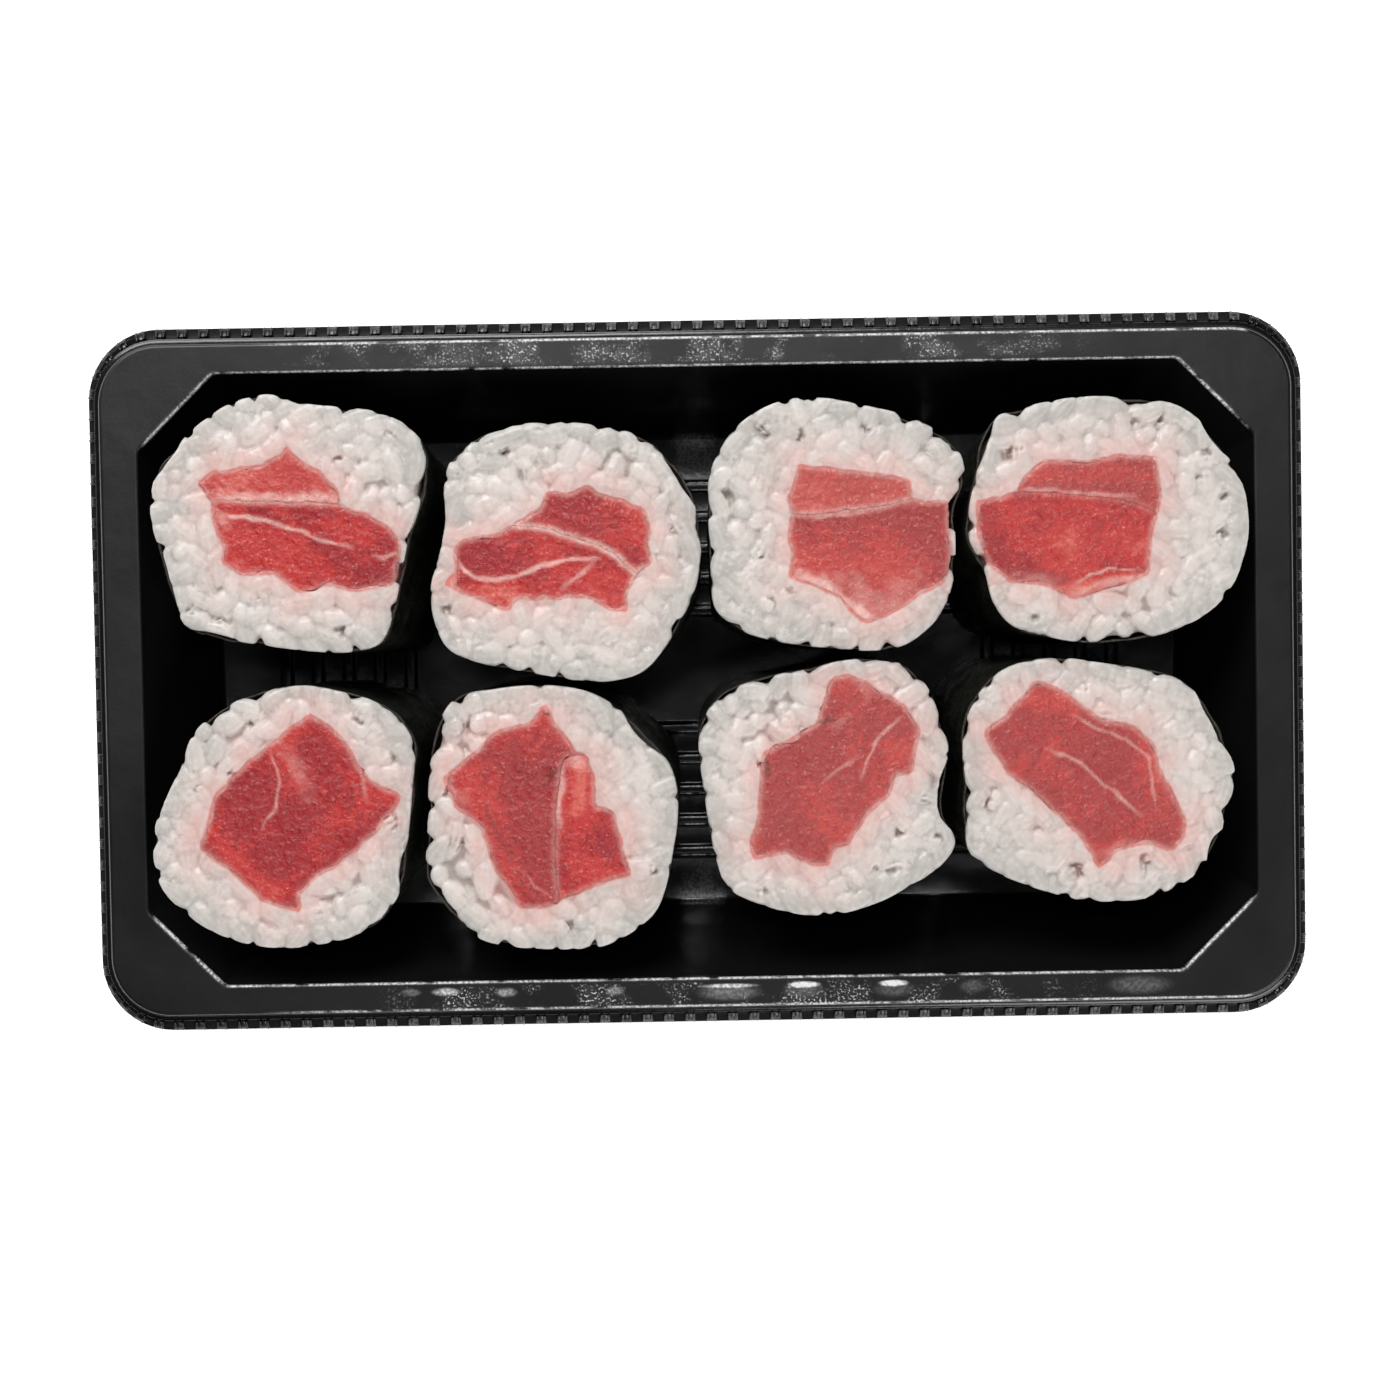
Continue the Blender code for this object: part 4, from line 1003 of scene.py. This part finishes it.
def grain_bed(wrap_top, cuts, number):
    """Each grain's middle, and its heading and lean: along the edge near seaweed or tuna, free elsewhere."""
    draw = np.random.default_rng(300 + number)
    places, turns = [], []
    for layer, (sink, cell, inset) in enumerate(LAYERS):
        middles = spread_points(wrap_top + inwards(wrap_top) * inset,
                                [r - inwards(r) * 0.3 * layer for r in cuts], cell, 10 * number + layer)
        many = len(middles)
        gaps = [from_line(middles, ring, True) for ring in [wrap_top] + cuts]
        away = np.array([gap[0] for gap in gaps])
        nearest, away = away.argmin(axis=0), away.min(axis=0)
        outward = np.array([gaps[k][1][i] for i, k in enumerate(nearest)]) - middles
        heading = draw.uniform(0, math.pi, many)
        along_edge = np.arctan2(outward[:, 1], outward[:, 0]) + math.pi / 2 + draw.normal(0, 0.85, many)
        heading = np.where(away < ALONG_EDGE, along_edge, heading)
        tip = np.where(draw.random(many) < ON_END, draw.uniform(0.7, 1.3, many), draw.normal(0, 0.17, many))
        tip = np.where(away < EDGE_ZONE, draw.normal(0, 0.35, many), tip)
        height = (RICE_TOP - GRAIN_WIDTH / 2 - sink + draw.uniform(-0.2, 0.35, many)
                  - (np.abs(tip) > 0.6) * ON_END_SINK)
        rim_drop = np.where((nearest == 0) & (away < EDGE_ZONE), 0.1, 0.0)
        places.append(np.column_stack([middles, height - rim_drop]))
        turns.append(np.column_stack([heading, tip]))
    return np.vstack(places), np.vstack(turns)


def fuse_grains(rice, lower):
    """Makes one lump of the grains and their core, soft where they stick, over the lower block."""
    fuse = rice.modifiers.new("Fused grains", "REMESH")
    fuse.mode, fuse.voxel_size, fuse.use_smooth_shade = "VOXEL", FUSED_MESH * MM, True
    soften = rice.modifiers.new("Sticky joints", "SMOOTH")
    soften.factor, soften.iterations = 0.5, 1
    make_plain(rice)
    joined = bmesh.new()
    for part in (rice, lower):
        joined.from_mesh(part.data)
    joined.to_mesh(rice.data)
    joined.free()
    bpy.data.objects.remove(lower)


def tuck_in(flat, heights, wrap_top):
    """Eases the points below the seaweed's edge inside its sheet."""
    share = np.clip((NORI_TOP + 0.35 - heights) / 0.45, 0, 1)
    low = share > 0
    sheet = even_ring(lean(wrap_top + inwards(wrap_top) * 1.05, RICE_TOP, NORI_TOP), 95)
    tucked = lean(kept_inside(lean(flat[low], heights[low], NORI_TOP), sheet), NORI_TOP, heights[low])
    flat[low] += (tucked - flat[low]) * share[low, None]


steamed_rice = rice_finish()
grain, laid_grains = grain_shape(), grain_tree()
for number in ROLLS:
    wrap_top = lean(wraps[number], NORI_TOP, RICE_TOP)
    cuts = cut_rings[number]
    core_ring = even_ring(wrap_top + inwards(wrap_top) * 1.1, 60)
    holes = [even_ring(ring, 40) for ring in cuts]
    flat, tris = filled(core_ring, CORE_MESH, holes)
    core = block(f"core_{number}", flat, tris, CORE_TOP, SLAB_BOTTOM)
    lower = block(f"lower_{number}", flat, tris, SLAB_BOTTOM + 0.2, RICE_BOTTOM)

    bed, turns = grain_bed(wrap_top, cuts, number)
    rice = plain_object(f"rice_{number}_grains", bed, [])
    give_values(rice, "heading", turns[:, 0])
    give_values(rice, "tip", turns[:, 1])
    grow(rice, laid_grains, {"Grain": grain, "Core": core, "Length": GRAIN_LENGTH / 2 * MM,
                             "Width": GRAIN_WIDTH / 2 * MM, "Smallest": 0.86, "Largest": 1.14, "Seed": number,
                             "Rice": steamed_rice})
    bpy.data.objects.remove(core)
    # The knife presses the grains flat, and the seaweed holds them in
    co = positions(rice)
    pressed = LEVEL + (co[:, 2] - LEVEL) * np.where(co[:, 2] > LEVEL, PRESSED_ABOVE, PRESSED_BELOW)
    co[:, 2] = np.where(co[:, 2] > PRESSED_FROM, pressed, co[:, 2])
    flat = co[:, :2]
    held = np.full(len(wrap_top), 0.06)
    for x, y, size in BARE.get(number, []):
        held += BARE_WIDTH * np.exp(-(np.linalg.norm(wrap_top - (x, y), axis=1) / size) ** 4)
    co[:, :2] = kept_inside(flat, wrap_top + inwards(wrap_top) * held[:, None])
    rice.data.vertices.foreach_set("co", (co * MM).ravel())
    # Each grain's tone is read back from the nearest point once the grains are one lump
    tones = np.zeros(len(co), np.float32)
    rice.data.attributes["tone"].data.foreach_get("value", tones)
    nearest = kdtree.KDTree(len(co))
    for i, point in enumerate(co):
        nearest.insert(point, i)
    nearest.balance()
    fuse_grains(rice, lower)
    co = positions(rice)
    tones = tones[[nearest.find(point)[1] for point in co]]
    creases = hollows(rice, co)
    below = LEVEL - co[:, 2]
    co[:, 2] = LEVEL - np.interp(below, *LEVELLED)
    flat = co[:, :2]
    tuck_in(flat, co[:, 2], wrap_top)
    # Rice pressed against the tuna: its edge covers a little of the cut, rises to it and takes its colour
    stained = np.zeros(len(co))
    sway = swayed(co, 0.8, number + 40)
    closest = np.full(len(co), 9.0)
    overlap = np.clip(0.3 + 0.4 * ripple(co * (1, 1, 0), 1.6, number + 20), 0.1, 0.7)
    for ring in cuts:
        away, near = from_line(flat, even_ring(ring, 90), True)
        inside = within(flat, ring)
        caught = inside & (co[:, 2] > CORE_TOP - 1) & (away > overlap)
        reach = (overlap / np.maximum(away, overlap))[caught, None]
        flat[caught] = near[caught] + (flat - near)[caught] * reach
        away = np.where(inside, 0.0, away)
        closest = np.minimum(closest, away)
        stained = np.maximum(stained, np.exp(-((away / STAIN_REACH) ** 1.5)))
        short = np.clip(RISE_TOP - co[:, 2], 0, None) * (co[:, 2] > CORE_TOP - 0.5)
        co[:, 2] += short * np.clip(1 - away / RISE_REACH, 0, 1) * 0.8
    co[:, :2] = flat
    # Painted shade where the surface lies well under the knife's level, away from the tuna
    deep = np.clip((below - 0.8) / 0.4, 0, 1) * np.clip(closest / 0.9, 0, 1)
    # The gaps are dug where the grains leave a crease, and painted dark as shade
    for x, y, size in GAPS[number]:
        near = np.exp(-((np.linalg.norm(flat + 0.4 * sway - (x, y), axis=1) / (1.3 * size)) ** 4))
        dip = near * np.clip(creases / 0.02 + 0.5, 0, 1) * (co[:, 2] > CORE_TOP)
        co[:, 2] -= 0.6 * dip
        deep = np.maximum(deep, dip)
    rice.data.vertices.foreach_set("co", (co * MM).ravel())
    rice.data.update()
    outwards = from_line(flat, even_ring(wrap_top, 95), True)[0]
    give_values(rice, "tone", np.clip(tones + np.exp(-((outwards / 2.4) ** 2)), 0, 1.3))
    rice.data.materials.clear()
    rice.data.materials.append(steamed_rice)
    blotchy = ripple(co, 3.5, number)
    # How deep each point lies in a crease, below 0 on a ridge, for the painted shade and highlight; the
    # crease shade fades next to the tuna
    give_values(rice, "crease_depth", np.clip(creases / 0.03, -1, np.clip(closest / 0.9, 0, 1)))
    soaked = np.clip(stained * (0.62 + 0.7 * blotchy), 0, 0.68)
    give_values(rice, "stain", np.maximum(soaked, np.exp(-((closest / 0.45) ** 2))))
    give_values(rice, "deep", deep)
    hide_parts(f"rice_{number}")
    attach(rice, "root")

# The table and the light: a plain pale surface, soft light from above and behind, and long lamps whose
# reflections run along the rim.
TABLE_HALF, TABLE_Z = 3000, -0.3
TABLE_WHITE, TABLE_WHITER = (0.96, 0.96, 0.96), (0.97, 0.97, 0.97)
table_corners = [(x * TABLE_HALF, y * TABLE_HALF, TABLE_Z) for x, y in ((-1, -1), (1, -1), (1, 1), (-1, 1))]
table = plain_object("table", table_corners, [(0, 1, 2, 3)], smooth=False)
pale_table, tree, shader, place = blank_finish("pale_table")
feed(tree, shader, {"Base Color": tint(patches(place, 60.0, 0.3, 0.7), TABLE_WHITE, TABLE_WHITER),
                    "Roughness": 0.9, "Specular IOR Level": 0.1, "Emission Color": (1.0, 1.0, 1.0, 1.0),
                    "Emission Strength": 0.7})
table.data.materials.append(pale_table)


def lamp(name, place, aim, size, power):
    data = bpy.data.lights.new(name, "AREA")
    data.shape = "RECTANGLE"
    data.size, data.size_y = size
    data.energy = power
    obj = bpy.data.objects.new(name, data)
    obj.location = place
    obj.rotation_euler = (Vector(aim) - Vector(place)).to_track_quat("-Z", "Y").to_euler()
    bpy.context.scene.collection.objects.link(obj)


# Name, place, what it points at, length and width in metres, and watts
lamp("key", (-0.35, 0.85, 1.0), (0, 0, 0), (0.9, 0.6), 16)
lamp("fill", (0.5, -0.9, 0.9), (0, 0, 0), (0.9, 0.6), 9.5)
lamp("strip_back", (0.0, 0.2, 1.1), (0, 0.05, 0), (0.55, 0.035), 1.1)
lamp("strip_front", (0.06, -0.19, 1.1), (0, -0.05, 0), (0.5, 0.03), 0.12)

BACKDROP = 19.0
world = bpy.data.worlds.new("studio")
bpy.context.scene.world = world
world.use_nodes = True
tree = world.node_tree
direction = node(tree, "ShaderNodeTexCoord").outputs["Generated"]
axes = node(tree, "ShaderNodeSeparateXYZ", {0: direction}).outputs
sky = plus(ramp(axes["Z"], 0.99, 0.7, 0.0, 0.68), ramp(axes["Y"], -0.14, 0.1, 0.02, 0.26))
# The background itself is white wherever the camera looks past the table
straight = node(tree, "ShaderNodeLightPath").outputs["Is Camera Ray"]
sky = plus(sky, times(straight, BACKDROP))
feed(tree, tree.nodes["Background"], {"Strength": sky})

# The photograph's camera looks almost straight down, from a little behind the middle
LENS, SENSOR = 71.33, 36
CAMERA_PLACE, CAMERA_TILT, CAMERA_TURN = (0.0000362, 0.0101889, 0.4044236), -0.0364, -0.0169
bpy.context.scene.view_settings.view_transform = "Standard"
camera = bpy.data.objects.new("camera", bpy.data.cameras.new("camera"))
camera.data.lens, camera.data.sensor_width = LENS, SENSOR
camera.data.clip_start, camera.data.clip_end = 0.01, 10
turned = Matrix.Rotation(CAMERA_TILT, 4, "X") @ Matrix.Rotation(CAMERA_TURN, 4, "Z")
camera.matrix_world = Matrix.Translation(CAMERA_PLACE) @ turned
bpy.context.scene.collection.objects.link(camera)
bpy.context.scene.camera = camera
